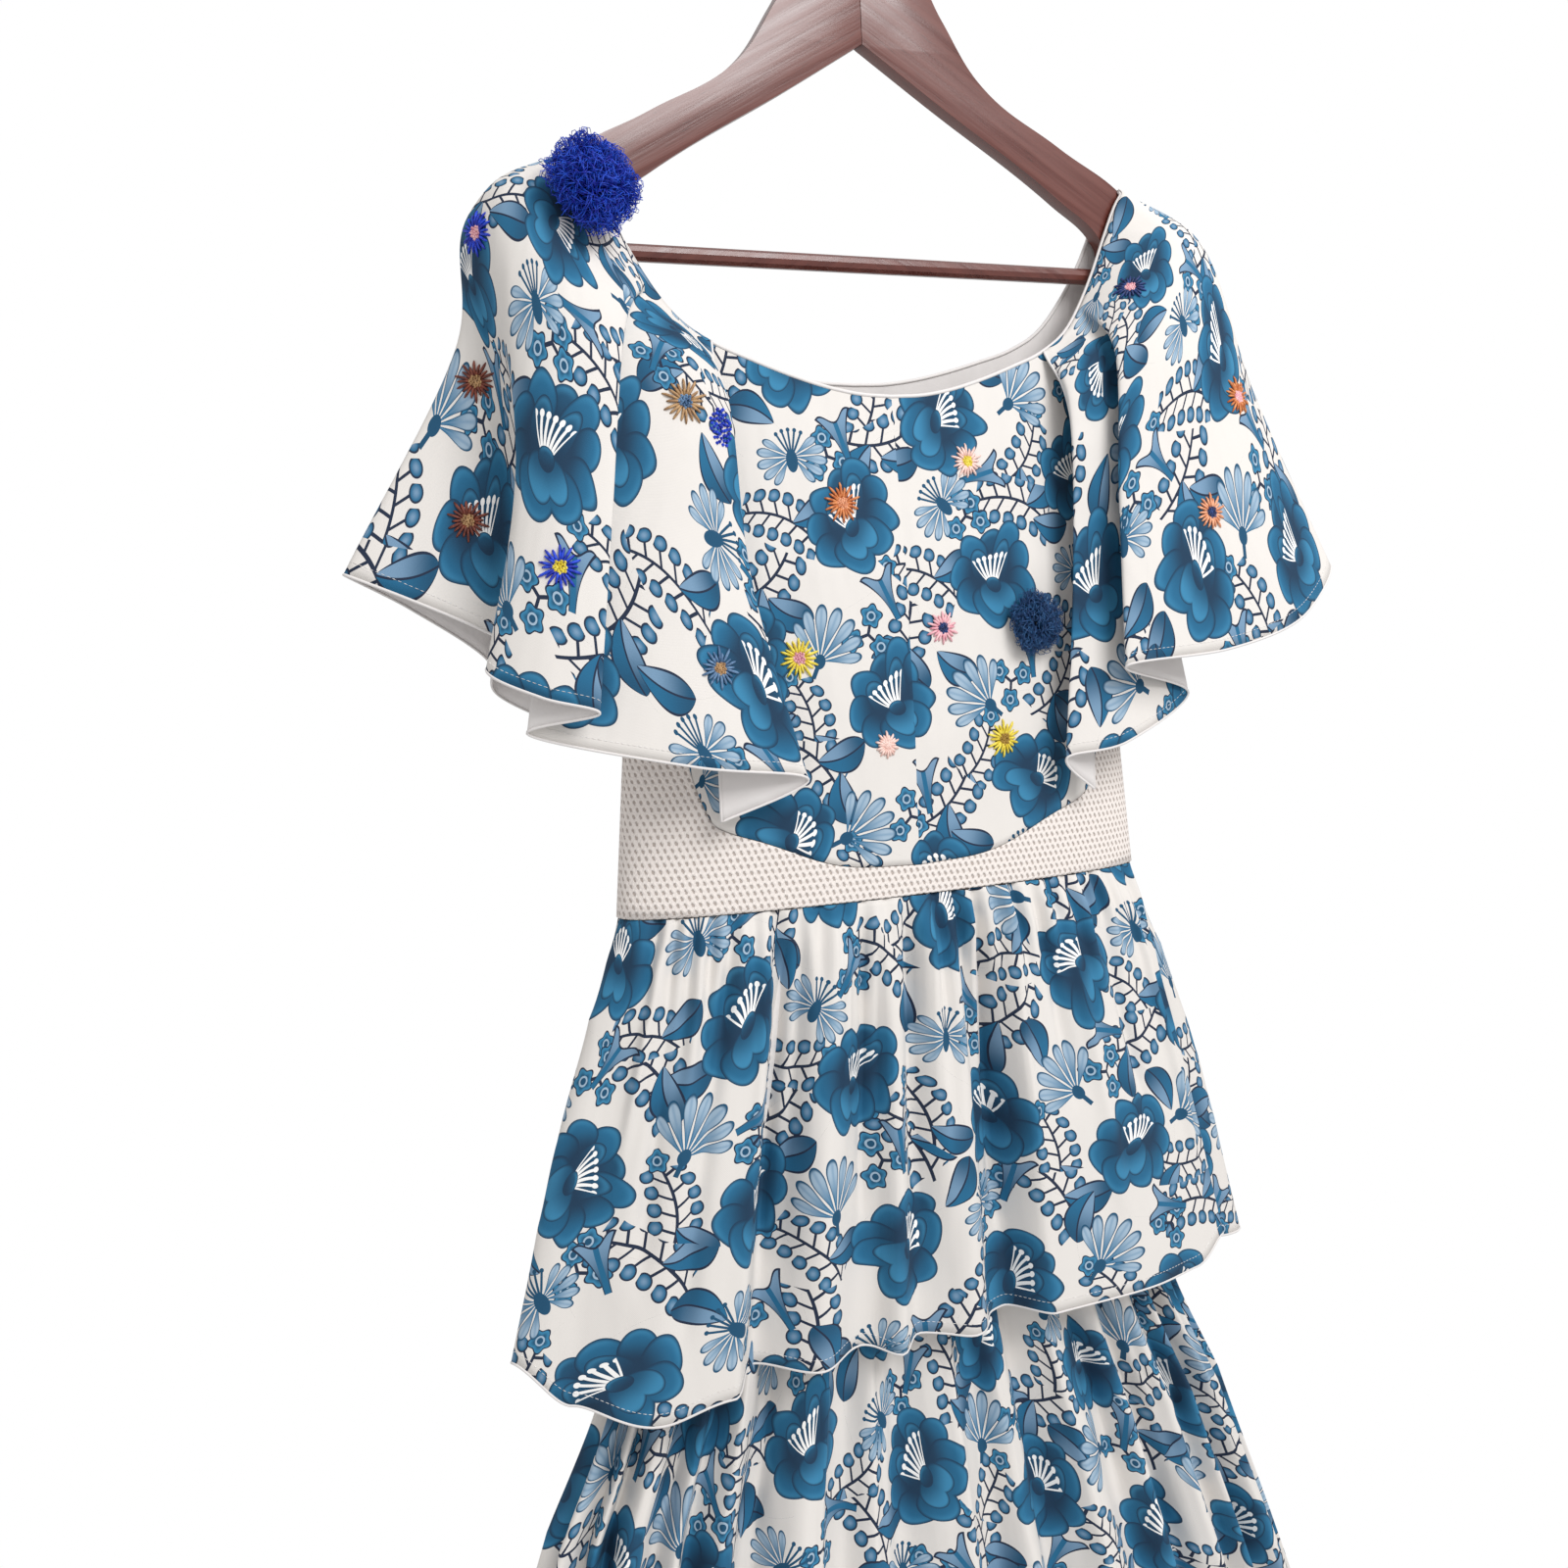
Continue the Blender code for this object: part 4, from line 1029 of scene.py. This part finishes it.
def skirtFlat(rows):  # the print runs straight up the cloth, at its real size between waist and hem
    along = rowLengths(rows[-1], True)
    width = rowLengths(rows[len(rows) // 2], True)[-1]
    return [[(width * length / along[-1] / printSize["skirt"], row[i % len(row)].z / printSize["skirt"])
             for i, length in enumerate(along)] for row in rows]


def skirtPiece(name, node, look, folds, gathered, outer):
    rows = skirtRows(look, folds, gathered)
    made = clothSurface(name, rows, skirtFlat(rows), True, [outer, whiteCotton])
    addTo(made, "printed_cotton", node)
    return rows


upperRows = skirtPiece("upper_tier_cloth", "skirt_upper_tier", upperTier, upperTier["folds"], True,
                       cotton)
skirtPiece("underskirt_cloth", "underskirt", underskirt, None, False, whiteCotton)
lowerRows = skirtPiece("lower_tier_cloth", "skirt_lower_tier", lowerTier, lowerFolds(), False,
                       cotton)
print("skirt made")


# flounces

flounces = {
    # where each fold leaves the neckline, then its path over the shoulder to the hem:
    # out from the centre, back, height
    "left": table("along shoulder middle hem", [
        (0.00, (0.128, -0.040, -0.245), (0.138, -0.046, -0.360), (0.142, -0.050, -0.492)),
        (0.02, (0.122, -0.046, -0.240), (0.117, -0.056, -0.345), (0.087, -0.062, -0.469)),
        (0.08, (0.150, -0.049, -0.215), (0.165, -0.061, -0.330), (0.165, -0.072, -0.455)),
        (0.14, (0.204, -0.043, -0.202), (0.238, -0.050, -0.310), (0.262, -0.056, -0.430)),
        (0.16, (0.191, -0.057, -0.196), (0.209, -0.070, -0.305), (0.226, -0.079, -0.419)),
        (0.22, (0.222, -0.053, -0.165), (0.238, -0.065, -0.290), (0.258, -0.073, -0.408)),
        (0.30, (0.246, -0.034, -0.128), (0.257, -0.045, -0.280), (0.283, -0.049, -0.392)),
        (0.40, (0.260, -0.014, -0.122), (0.246, -0.014, -0.260), (0.262, -0.012, -0.375)),
        (0.50, (0.264, 0.004, -0.122), (0.274, 0.012, -0.200), (0.348, 0.014, -0.332)),
        (0.60, (0.256, 0.022, -0.126), (0.260, 0.034, -0.235), (0.306, 0.044, -0.352)),
        (0.70, (0.232, 0.036, -0.148), (0.238, 0.036, -0.280), (0.262, 0.034, -0.385)),
        (0.78, (0.208, 0.046, -0.170), (0.224, 0.058, -0.300), (0.246, 0.070, -0.410)),
        (0.86, (0.182, 0.044, -0.195), (0.190, 0.048, -0.320), (0.200, 0.050, -0.436)),
        (0.93, (0.154, 0.048, -0.215), (0.160, 0.058, -0.330), (0.152, 0.066, -0.455)),
        (1.00, (0.124, 0.044, -0.225), (0.116, 0.052, -0.335), (0.090, 0.058, -0.465)),
    ]),
    "right": table("along shoulder middle hem", [
        (0.00, (0.130, -0.040, -0.240), (0.136, -0.046, -0.360), (0.136, -0.048, -0.494)),
        (0.02, (0.127, -0.046, -0.235), (0.120, -0.054, -0.345), (0.106, -0.060, -0.470)),
        (0.08, (0.146, -0.047, -0.220), (0.150, -0.056, -0.345), (0.152, -0.064, -0.462)),
        (0.13, (0.176, -0.042, -0.202), (0.192, -0.048, -0.320), (0.214, -0.052, -0.432)),
        (0.15, (0.158, -0.055, -0.198), (0.148, -0.069, -0.290), (0.140, -0.082, -0.410)),
        (0.22, (0.198, -0.056, -0.165), (0.212, -0.072, -0.270), (0.225, -0.084, -0.402)),
        (0.30, (0.236, -0.042, -0.128), (0.262, -0.062, -0.250), (0.300, -0.071, -0.383)),
        (0.40, (0.256, -0.022, -0.118), (0.286, -0.036, -0.220), (0.352, -0.040, -0.345)),
        (0.50, (0.256, 0.002, -0.116), (0.266, 0.000, -0.240), (0.305, 0.004, -0.372)),
        (0.60, (0.250, 0.022, -0.122), (0.262, 0.030, -0.235), (0.316, 0.044, -0.352)),
        (0.70, (0.230, 0.036, -0.148), (0.238, 0.036, -0.280), (0.260, 0.034, -0.386)),
        (0.78, (0.208, 0.046, -0.170), (0.222, 0.058, -0.300), (0.242, 0.070, -0.410)),
        (0.86, (0.180, 0.044, -0.192), (0.188, 0.048, -0.320), (0.198, 0.050, -0.436)),
        (0.93, (0.154, 0.048, -0.212), (0.160, 0.058, -0.330), (0.152, 0.066, -0.455)),
        (1.00, (0.124, 0.044, -0.225), (0.116, 0.052, -0.335), (0.092, 0.058, -0.462)),
    ]),
    "steps": 15,
    "levels": 54,
}


def flounceEdge(along):
    front = along <= 0.5
    share = mix(flounceStart, shoulderShare, 2 * along if front else 2 - 2 * along)
    x = readSmooth(body["neck"], "share", share, "halfWidth")
    height = readSmooth(body["neck"], "share", share, "height")
    if not front:
        height += body["backRise"] * (1.0 - smooth(share / shoulderShare))
    height = min(height, shoulderSeam(x))
    side = -1 if front else 1
    point = bodyPoint(angleAt(x, height), height, side)
    roll = clamp((share - rollShare) / (shoulderShare - rollShare)) * math.pi / 2
    return point + Vector((0.0, side * math.cos(roll), math.sin(roll))) * lift


def flounceRows(folds, mirror, steps, levels):
    padded = [folds[0]] + folds + [folds[-1]]
    columns = [(i, step / steps) for i in range(len(folds) - 1) for step in range(steps)]
    columns.append((len(folds) - 2, 1.0))
    paths = []
    for i, share in columns:
        near = padded[i:i + 4]
        places = [flounceEdge(mix(near[1].along, near[2].along, share))]
        for column in ("shoulder", "middle", "hem"):
            places.append(spline(*(Vector(getattr(row, column)) for row in near), share))
        places = [places[0] * 2 - places[1]] + places + [places[3] * 2 - places[2]]
        path = []
        for level in range(levels + 1):
            t = 3.0 * level / levels
            k = min(2, int(t))
            point = spline(*places[k:k + 4], t - k)
            path.append(Vector((point.x * mirror, point.y, point.z)))
        paths.append(path)
    rows = [list(row) for row in zip(*paths)]
    return rows if mirror > 0 else [row[::-1] for row in rows]


def flounceFlat(rows):  # a curved strip: the seam is its short inner edge, the hem its long outer one
    seam = rowLengths(rows[0])[-1]
    hem = rowLengths(rows[-1])[-1]
    depths = [rowLengths(list(column))[-1] for column in zip(*rows)]
    depth = sum(depths) / len(depths)
    spread = (hem - seam) / depth
    inner = seam / spread
    flat = []
    for k, row in enumerate(rows):
        along = rowLengths(row)
        radius = inner + depth * k / (len(rows) - 1)
        turns = [spread * (length / along[-1] - 0.5) for length in along]
        size = radius / printSize["flounce"]
        flat.append([(size * math.sin(turn), -size * math.cos(turn)) for turn in turns])
    return flat, (seam + hem) / 2, depth, (seam + hem) / 2 * depth


flounceShapes = {}
flounceObjects = {}
for side, mirror in (("left", -1), ("right", 1)):
    rows = flounceRows(flounces[side], mirror, flounces["steps"], flounces["levels"])
    flat, width, depth, area = flounceFlat(rows)
    made = clothSurface("flounce_" + side + "_cloth", rows, flat, False, [cotton, whiteCotton])
    addTo(made, "printed_cotton", "flounce_" + side)
    flounceShapes[side] = rows
    flounceObjects[side] = made
    print("flounce", side, "cut", round(width, 3), round(depth, 3), "area", round(area, 3))


# rolled hems and stitching

edges = {"hemRadius": 0.0009, "neckRadius": 0.0013, "stitch": 0.0024, "stitchGap": 0.0011,
         "stitchRadius": 0.00022}
thread = threadMaterial("white sewing thread", "E4DFDC", "FBF9F8")


def hemTube(name, path, radius, closed):
    return addTo(tubes(name, [path], radius, 6, whiteCotton, closed), "printed_cotton")


def outwardOf(rows, level, i, closed):
    count = len(rows[0])
    before = rows[level][(i - 1) % count] if closed else rows[level][max(0, i - 1)]
    after = rows[level][(i + 1) % count] if closed else rows[level][min(count - 1, i + 1)]
    down = rows[min(level + 1, len(rows) - 1)][i] - rows[max(level - 1, 0)][i]
    return down.cross(after - before).normalized()


def stitchPaths(rows, level, closed):  # short stitches that lie on the cloth along one of its rows
    high = clothWall / 2 + edges["stitchRadius"] * 0.6
    lifted = [point + outwardOf(rows, level, i, closed) * high for i, point in enumerate(rows[level])]
    if closed:
        lifted.append(lifted[0])
    along = rowLengths(lifted)
    paths, place, k = [], 0.0, 0
    while place + edges["stitch"] < along[-1]:
        path = []
        for share in (0.0, 0.5, 1.0):
            target = place + edges["stitch"] * share
            while along[k + 1] < target:
                k += 1
            part = (target - along[k]) / (along[k + 1] - along[k])
            path.append((lifted[k].lerp(lifted[k + 1], part), (0.5, 1.0, 0.5)[int(share * 2)]))
        paths.append(path)
        place += edges["stitch"] + edges["stitchGap"]
        while k > 0 and along[k] > place:
            k -= 1
    return paths


hemTube("upper_tier_hem", upperRows[-1], edges["hemRadius"], True)
hemTube("lower_tier_hem", lowerRows[-1], edges["hemRadius"], True)
for side in ("left", "right"):
    rows = flounceShapes[side]
    ends = [row[-1] for row in rows[::-1]][1:]
    outline = [row[0] for row in rows] + rows[-1][1:] + ends
    hemTube("flounce_" + side + "_hem", outline, edges["hemRadius"], False)
neckEnd = round(body["columns"] * (1.0 - shoulderShare) / 2)
for name, rows in (("neck_binding_front", frontRows), ("neck_binding_back", backRows)):
    hemTube(name, rows[0][neckEnd:len(rows[0]) - neckEnd], edges["neckRadius"], False)
stitches = stitchPaths(upperRows, upperTier["levels"] - 1, True)
stitches += stitchPaths(lowerRows, lowerTier["levels"] - 1, True)
for side in ("left", "right"):
    stitches += stitchPaths(flounceShapes[side], flounces["levels"] - 1, False)
addTo(tubes("hem_stitching", stitches, edges["stitchRadius"], 4, thread), "printed_cotton")
print("hems and", len(stitches), "stitches made")


# thread pompoms

pompoms = {
    "left": {"place": (-0.205, -0.040, -0.113), "core": 0.016, "reach": 0.034, "strands": 2300,
             "seed": 3, "flat": 0.95, "curl": 0.004},
    "right": {"place": (0.094, -0.040, -0.380), "core": 0.010, "reach": 0.025, "strands": 1100,
              "seed": 5, "flat": 0.5, "curl": 0.003},
    "strandRadius": 0.00027,
    "shortest": 0.74,
    "lowest": -0.55,  # strands point no further down towards the cloth
    # along each strand: how far out it is, and how far its end has curled over
    "strand": table("share out over", [
        (0.0, 0.35, 0.0), (0.3, 0.62, 0.25), (0.55, 0.86, 0.1), (0.75, 1.0, 0.7), (0.9, 0.97, 1.5),
        (1.0, 0.84, 1.9)]),
}


def nearestSeat(rows, place):
    best = None
    for i in range(1, len(rows) - 1):
        for k in range(1, len(rows[0]) - 1):
            away = (rows[i][k] - place).length
            if best is None or away < best[0]:
                best = (away, i, k)
    _, i, k = best
    return rows[i][k], outwardOf(rows, i, k, False)


def pompomStrands(look, seat, outward):
    chance = random.Random(look["seed"])
    turn = outward.to_track_quat("Z", "Y").to_matrix()
    middle = seat + outward * (look["core"] * look["flat"] + clothWall)
    paths = []
    for _ in range(look["strands"]):
        height = chance.uniform(pompoms["lowest"], 1.0)
        angle = chance.uniform(0.0, 2.0 * math.pi)
        level = math.sqrt(1.0 - height * height)
        way = Vector((level * math.cos(angle), level * math.sin(angle), height))
        reach = look["reach"] * chance.uniform(pompoms["shortest"], 1.0)
        reach *= 1.0 if height > 0 else 1.0 + 0.8 * height
        lump = 0.06 * math.sin(3.0 * angle + 4.0 * height)
        reach *= 0.90 + lump + 0.05 * math.sin(5.0 * angle - 2.0 * height)
        wild = Vector([chance.uniform(-1.0, 1.0) for _ in range(3)])
        sideways = (wild - way * wild.dot(way)).normalized()
        loop = look["curl"] * chance.uniform(0.5, 1.3)
        path = []
        for share, out, over in pompoms["strand"]:
            spot = way * reach * out + sideways * loop * over
            spot += wild * look["curl"] * 0.5 * math.sin(share * 9.0)
            spot.z = max(spot.z * look["flat"], -look["core"] * look["flat"] * 0.9)
            path.append((middle + turn @ spot, 1.0 if share < 1.0 else 0.5))
        paths.append(path)
    return paths


royal = threadMaterial("royal blue thread", "0A1CA4", "1454D8")
denim = threadMaterial("denim blue thread", "163A6C", "2C5E92")
for name, side, rows, material, slot in (
        ("pompom_left", "left", flounceShapes["left"], royal, "royal_blue_thread"),
        ("tuft_right", "right", frontRows, denim, "denim_blue_thread")):
    look = pompoms[side]
    seat, outward = nearestSeat(rows, Vector(look["place"]))
    paths = pompomStrands(look, seat, outward)
    addTo(tubes(name + "_threads", paths, pompoms["strandRadius"], 3, material), slot, name)
print("pompoms made")


# embroidered daisies

threads = {
    "royal": ("0A1E9C", "1C48D8"), "navy": ("10204E", "24407E"), "pink": ("E29AA8", "F6C4C8"),
    "blush": ("EBC0B4", "FADCD2"), "yellow": ("D8BE28", "F6E45A"), "gold": ("8C6A1E", "B08A34"),
    "orange": ("B85E28", "E2935A"), "peach": ("D88A60", "F4B48E"), "rust": ("5E2A20", "8A4430"),
    "slate": ("3E5E84", "6A8CB0"), "tan": ("96704C", "C09A6C"),
}
daisies = table("x height petals centre size", [
    (-0.269, -0.135, "royal", "pink", 0.014), (-0.242, -0.334, "royal", "yellow", 0.014),
    (-0.154, -0.237, "tan", "slate", 0.015), (-0.080, -0.394, "yellow", "pink", 0.014),
    (-0.043, -0.297, "orange", "peach", 0.013), (0.053, -0.270, "blush", "yellow", 0.012),
    (0.024, -0.379, "pink", "navy", 0.012), (0.068, -0.455, "yellow", "gold", 0.013),
    (0.181, -0.154, "navy", "pink", 0.012), (0.254, -0.229, "orange", "pink", 0.014),
    (0.217, -0.309, "peach", "navy", 0.013), (-0.145, -0.397, "slate", "tan", 0.013),
    (-0.266, -0.219, "rust", "tan", 0.013), (-0.277, -0.302, "rust", "tan", 0.013),
    (-0.022, -0.453, "blush", "blush", 0.009),
])
daisyLook = {
    "rays": 20, "rayRadius": 0.00095, "knots": 19, "knotRadius": 0.0011, "knotHeight": 0.0008,
    "short": 0.80,  # every other ray
    "uneven": 0.15,
    "reach": (0.88, 1.05),
    "eye": 0.30,
    "seed": 11,
    "spiral": 2.4,  # turn from one knot to the next
    # along each ray: how high it lies over the cloth, and its share of the radius
    "ray": table("share high thick", [
        (0.25, 0.0002, 0.8), (0.5, 0.0010, 1.0), (0.85, 0.0008, 0.9), (1.0, 0.0001, 0.5)]),
}


def surfaceTrees(objects):
    graph = bpy.context.evaluated_depsgraph_get()
    return [BVHTree.FromObject(item, graph) for item in objects]


def landOn(trees, x, height):  # the first cloth that a line from the front meets
    found = []
    while not found:
        start = Vector((x, -0.6, height - hookRise))
        hits = [tree.ray_cast(start, Vector((0.0, 1.0, 0.0))) for tree in trees]
        found = [(hit[3], hit[0], hit[1], tree) for hit, tree in zip(hits, trees) if hit[0]]
        x *= 0.98
    return min(found, key=lambda item: item[0])


def hugging(tree, normal, point, high):  # the point's place on the cloth, lifted
    spot, slope, _, _ = tree.find_nearest(point)
    slope = slope if slope.dot(normal) > 0 else -slope
    return spot + slope * high + Vector((0.0, 0.0, hookRise))


frontTrees = surfaceTrees([frontBodice, flounceObjects["left"], flounceObjects["right"]])
rayPaths = {}
knotSpots = {}


def addKnot(colour, spot):  # on the cloth that tree and normal stand for
    place = hugging(tree, normal, spot, daisyLook["knotHeight"])
    knotSpots.setdefault(colour, []).append((place, normal))


chance = random.Random(daisyLook["seed"])
for daisy in daisies:
    _, middle, normal, tree = landOn(frontTrees, daisy.x, daisy.height)
    normal = normal if normal.y < 0 else -normal
    side = Vector((0.0, 0.0, 1.0)).cross(normal).normalized()
    upward = normal.cross(side)
    for i in range(daisyLook["rays"]):
        turn = i + chance.uniform(-daisyLook["uneven"], daisyLook["uneven"])
        turn *= 2.0 * math.pi / daisyLook["rays"]
        way = side * math.cos(turn) + upward * math.sin(turn)
        reach = daisy.size * (1.0 if i % 2 else daisyLook["short"]) * chance.uniform(*daisyLook["reach"])
        path = [(hugging(tree, normal, middle + way * reach * share, high), thick)
                for share, high, thick in daisyLook["ray"]]
        rayPaths.setdefault(daisy.petals, []).append(path)
    for i in range(daisyLook["knots"]):
        turn = daisyLook["spiral"] * i
        away = daisy.size * daisyLook["eye"] * math.sqrt(i / daisyLook["knots"])
        spot = middle + (side * math.cos(turn) + upward * math.sin(turn)) * away
        addKnot(daisy.centre, spot)

patch = {"x": -0.131, "height": -0.252, "wide": 0.008, "tall": 0.012, "knots": 46}
_, middle, normal, tree = landOn(frontTrees, patch["x"], patch["height"])
normal = normal if normal.y < 0 else -normal
for i in range(patch["knots"]):
    turn = daisyLook["spiral"] * i
    away = math.sqrt(i / patch["knots"])
    across, up = math.cos(turn) * away * patch["wide"], math.sin(turn) * away * patch["tall"]
    addKnot("royal", middle + Vector((across, 0.0, up)))


def knotPath(place, normal, radius):  # a small curled loop of thread
    side = normal.orthogonal().normalized()
    other = normal.cross(side)
    path = []
    for k in range(9):
        turn = 2.0 * math.pi * k / 8.0 * 1.3
        loop = (side * math.cos(turn) + other * math.sin(turn)) * radius * 0.55
        path.append(place + loop + normal * radius * 0.5 * math.sin(turn * 0.7))
    return path


for colour in sorted(set(rayPaths) | set(knotSpots)):
    material = threadMaterial(colour + " embroidery thread", *threads[colour])
    knots = [knotPath(place, way, daisyLook["knotRadius"]) for place, way in knotSpots.get(colour, [])]
    for label, paths, radius in (("rays", rayPaths.get(colour), daisyLook["rayRadius"]),
                                 ("knots", knots, daisyLook["knotRadius"] * 0.5)):
        if paths:
            made = tubes("daisy_" + label + "_" + colour, paths, radius, 5, material)
            addTo(made, "royal_blue_thread")
print("daisies made")


# hanger

hanger = {
    "arm": table("out height corner", [
        (0.0002, 0.0720, True), (0.0130, 0.0715, False), (0.0400, 0.0530, False), (0.0600, 0.0210, False),
        (0.0900, -0.0193, False), (0.1500, -0.0545, False), (0.2050, -0.0859, False), (0.2210, -0.1060, False),
        (0.2215, -0.1350, False), (0.2060, -0.1530, False), (0.1900, -0.1410, False), (0.1830, -0.1160, False),
        (0.1500, -0.0905, False), (0.0500, -0.0305, False), (0.0002, 0.0000, True)]),
    "thickness": 0.012,
    "rounding": 0.0028,
    "wire": 0.0015,
    "hookRadius": 0.021,
    "woodTop": 0.072,
    "foot": 0.008,
    "pull": 0.020,
    "start": -42.0,
    "end": 205.0,
}


def hangerArm(name, mirror):
    outline = bpy.data.curves.new(name + "_outline", "CURVE")
    outline.dimensions = "2D"
    outline.fill_mode = "BOTH"
    outline.extrude = hanger["thickness"] / 2
    outline.resolution_u = 12
    path = outline.splines.new("BEZIER")
    path.bezier_points.add(len(hanger["arm"]) - 1)
    for knot, place in zip(path.bezier_points, hanger["arm"]):
        knot.co = (place.out, place.height - hookRise, 0.0)
        knot.handle_left_type = knot.handle_right_type = "VECTOR" if place.corner else "AUTO"
    path.use_cyclic_u = True
    guide = putIn(name + "_guide", outline)
    bpy.context.view_layer.update()
    mesh = bpy.data.meshes.new_from_object(guide.evaluated_get(bpy.context.evaluated_depsgraph_get()))
    bpy.data.objects.remove(guide)
    mesh.transform(Matrix.Rotation(math.pi / 2, 4, "X"))
    if mirror < 0:
        mesh.transform(Matrix.Scale(-1.0, 4, (1.0, 0.0, 0.0)))
        mesh.flip_normals()
    mesh.materials.clear()
    mesh.materials.append(wood)
    made = putIn(name, mesh)
    weld = made.modifiers.new("weld", "WELD")
    weld.merge_threshold = 0.00001
    rounding = made.modifiers.new("rounding", "BEVEL")
    rounding.width = hanger["rounding"]
    rounding.segments = 4
    rounding.limit_method = "ANGLE"
    rounding.angle_limit = math.radians(60.0)
    mesh.shade_smooth()
    mesh.set_sharp_from_angle(angle=math.radians(50.0))
    return made


def hookPath():
    radius = hanger["hookRadius"] + hanger["wire"]
    centre = hookRise - hanger["hookRadius"]
    start = math.radians(hanger["start"])
    foot = Vector((0.0, hanger["woodTop"] + hanger["foot"]))
    pull = Vector((0.0, hanger["woodTop"] + hanger["pull"]))
    knee = Vector((radius * math.cos(start), centre + radius * math.sin(start)))
    places = [Vector((0.0, hanger["woodTop"] - 0.004)), Vector((0.0, hanger["woodTop"])), foot]
    for k in range(1, 12):
        t = k / 12
        places.append(foot * (1 - t) ** 2 + pull * 2 * t * (1 - t) + knee * t * t)
    for k in range(49):
        turn = mix(start, math.radians(hanger["end"]), k / 48)
        places.append(Vector((radius * math.cos(turn), centre + radius * math.sin(turn))))
    return [Vector((place.x, 0.0, place.y)) for place in places]


for name, mirror in (("left", -1), ("right", 1)):
    addTo(hangerArm("arm_" + name, mirror), "varnished_wood", "hanger_arm_" + name)
addTo(tubes("hook_wire", [hookPath()], hanger["wire"], 16, steel), "polished_steel", "hanger_hook")
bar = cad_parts["hanger_bar"]
bar.data.materials.clear()
bar.data.materials.append(wood)
print("hanger made")


# floor, light and camera

room = {"floor": -1.62, "radius": 0.72, "floorTone": (0.97, 0.97, 0.97, 1.0), "white": (1.0, 1.0, 1.0, 1.0),
        "backdrop": 1.0, "ambient": 0.67, "aim": (0.0, 0.0, -0.6)}
floorMesh = bpy.data.meshes.new("floor")
rim = [2.0 * math.pi * k / 96 for k in range(96)]
floorMesh.from_pydata([(room["radius"] * math.cos(turn), room["radius"] * math.sin(turn), room["floor"])
                       for turn in rim], [], [tuple(range(len(rim)))])
floor = putIn("floor", floorMesh)
floorMesh.materials.append(newMaterial("pale floor", room["floorTone"], 0.9)[0])

world = bpy.data.worlds.new("studio")
bpy.context.scene.world = world
world.use_nodes = True
world.cycles.sampling_method = "NONE"  # evenly white, so it needs no aiming
background = world.node_tree.nodes["Background"]
background.inputs["Color"].default_value = room["white"]
# the camera sees white, and a softer light falls on the dress
seen = Wire(addNode(background, "LightPath").outputs["Is Camera Ray"])
plug(background.inputs["Strength"], scaled(seen, room["backdrop"] - room["ambient"], room["ambient"]))

lights = table("name place size power", [
    ("window", (0.62, -2.0, 1.15), 1.3, 55.0),
])
for light in lights:
    lamp = bpy.data.lights.new(light.name, "AREA")
    lamp.size = light.size
    lamp.energy = light.power
    made = putIn(light.name, lamp)
    made.location = light.place
    made.rotation_euler = (Vector(room["aim"]) - made.location).to_track_quat("-Z", "Y").to_euler()

view = {"place": (-0.52491, -0.99888, -0.51148), "heading": 24.2, "down": 5.4, "roll": -2.54, "lens": 38.25}
lens = bpy.data.cameras.new("camera")
lens.lens = view["lens"]
lens.sensor_width = 36.0
camera = putIn("camera", lens)
facing = Matrix.Rotation(math.radians(-view["heading"]), 4, "Z")
facing = facing @ Matrix.Rotation(math.radians(90.0 - view["down"]), 4, "X")
rolled = Matrix.Rotation(math.radians(view["roll"]), 4, "Z")
camera.matrix_world = Matrix.Translation(view["place"]) @ facing @ rolled
bpy.context.scene.camera = camera
bpy.context.scene.view_settings.view_transform = "Standard"
print("floor, light and camera made")

bpy.context.view_layer.update()
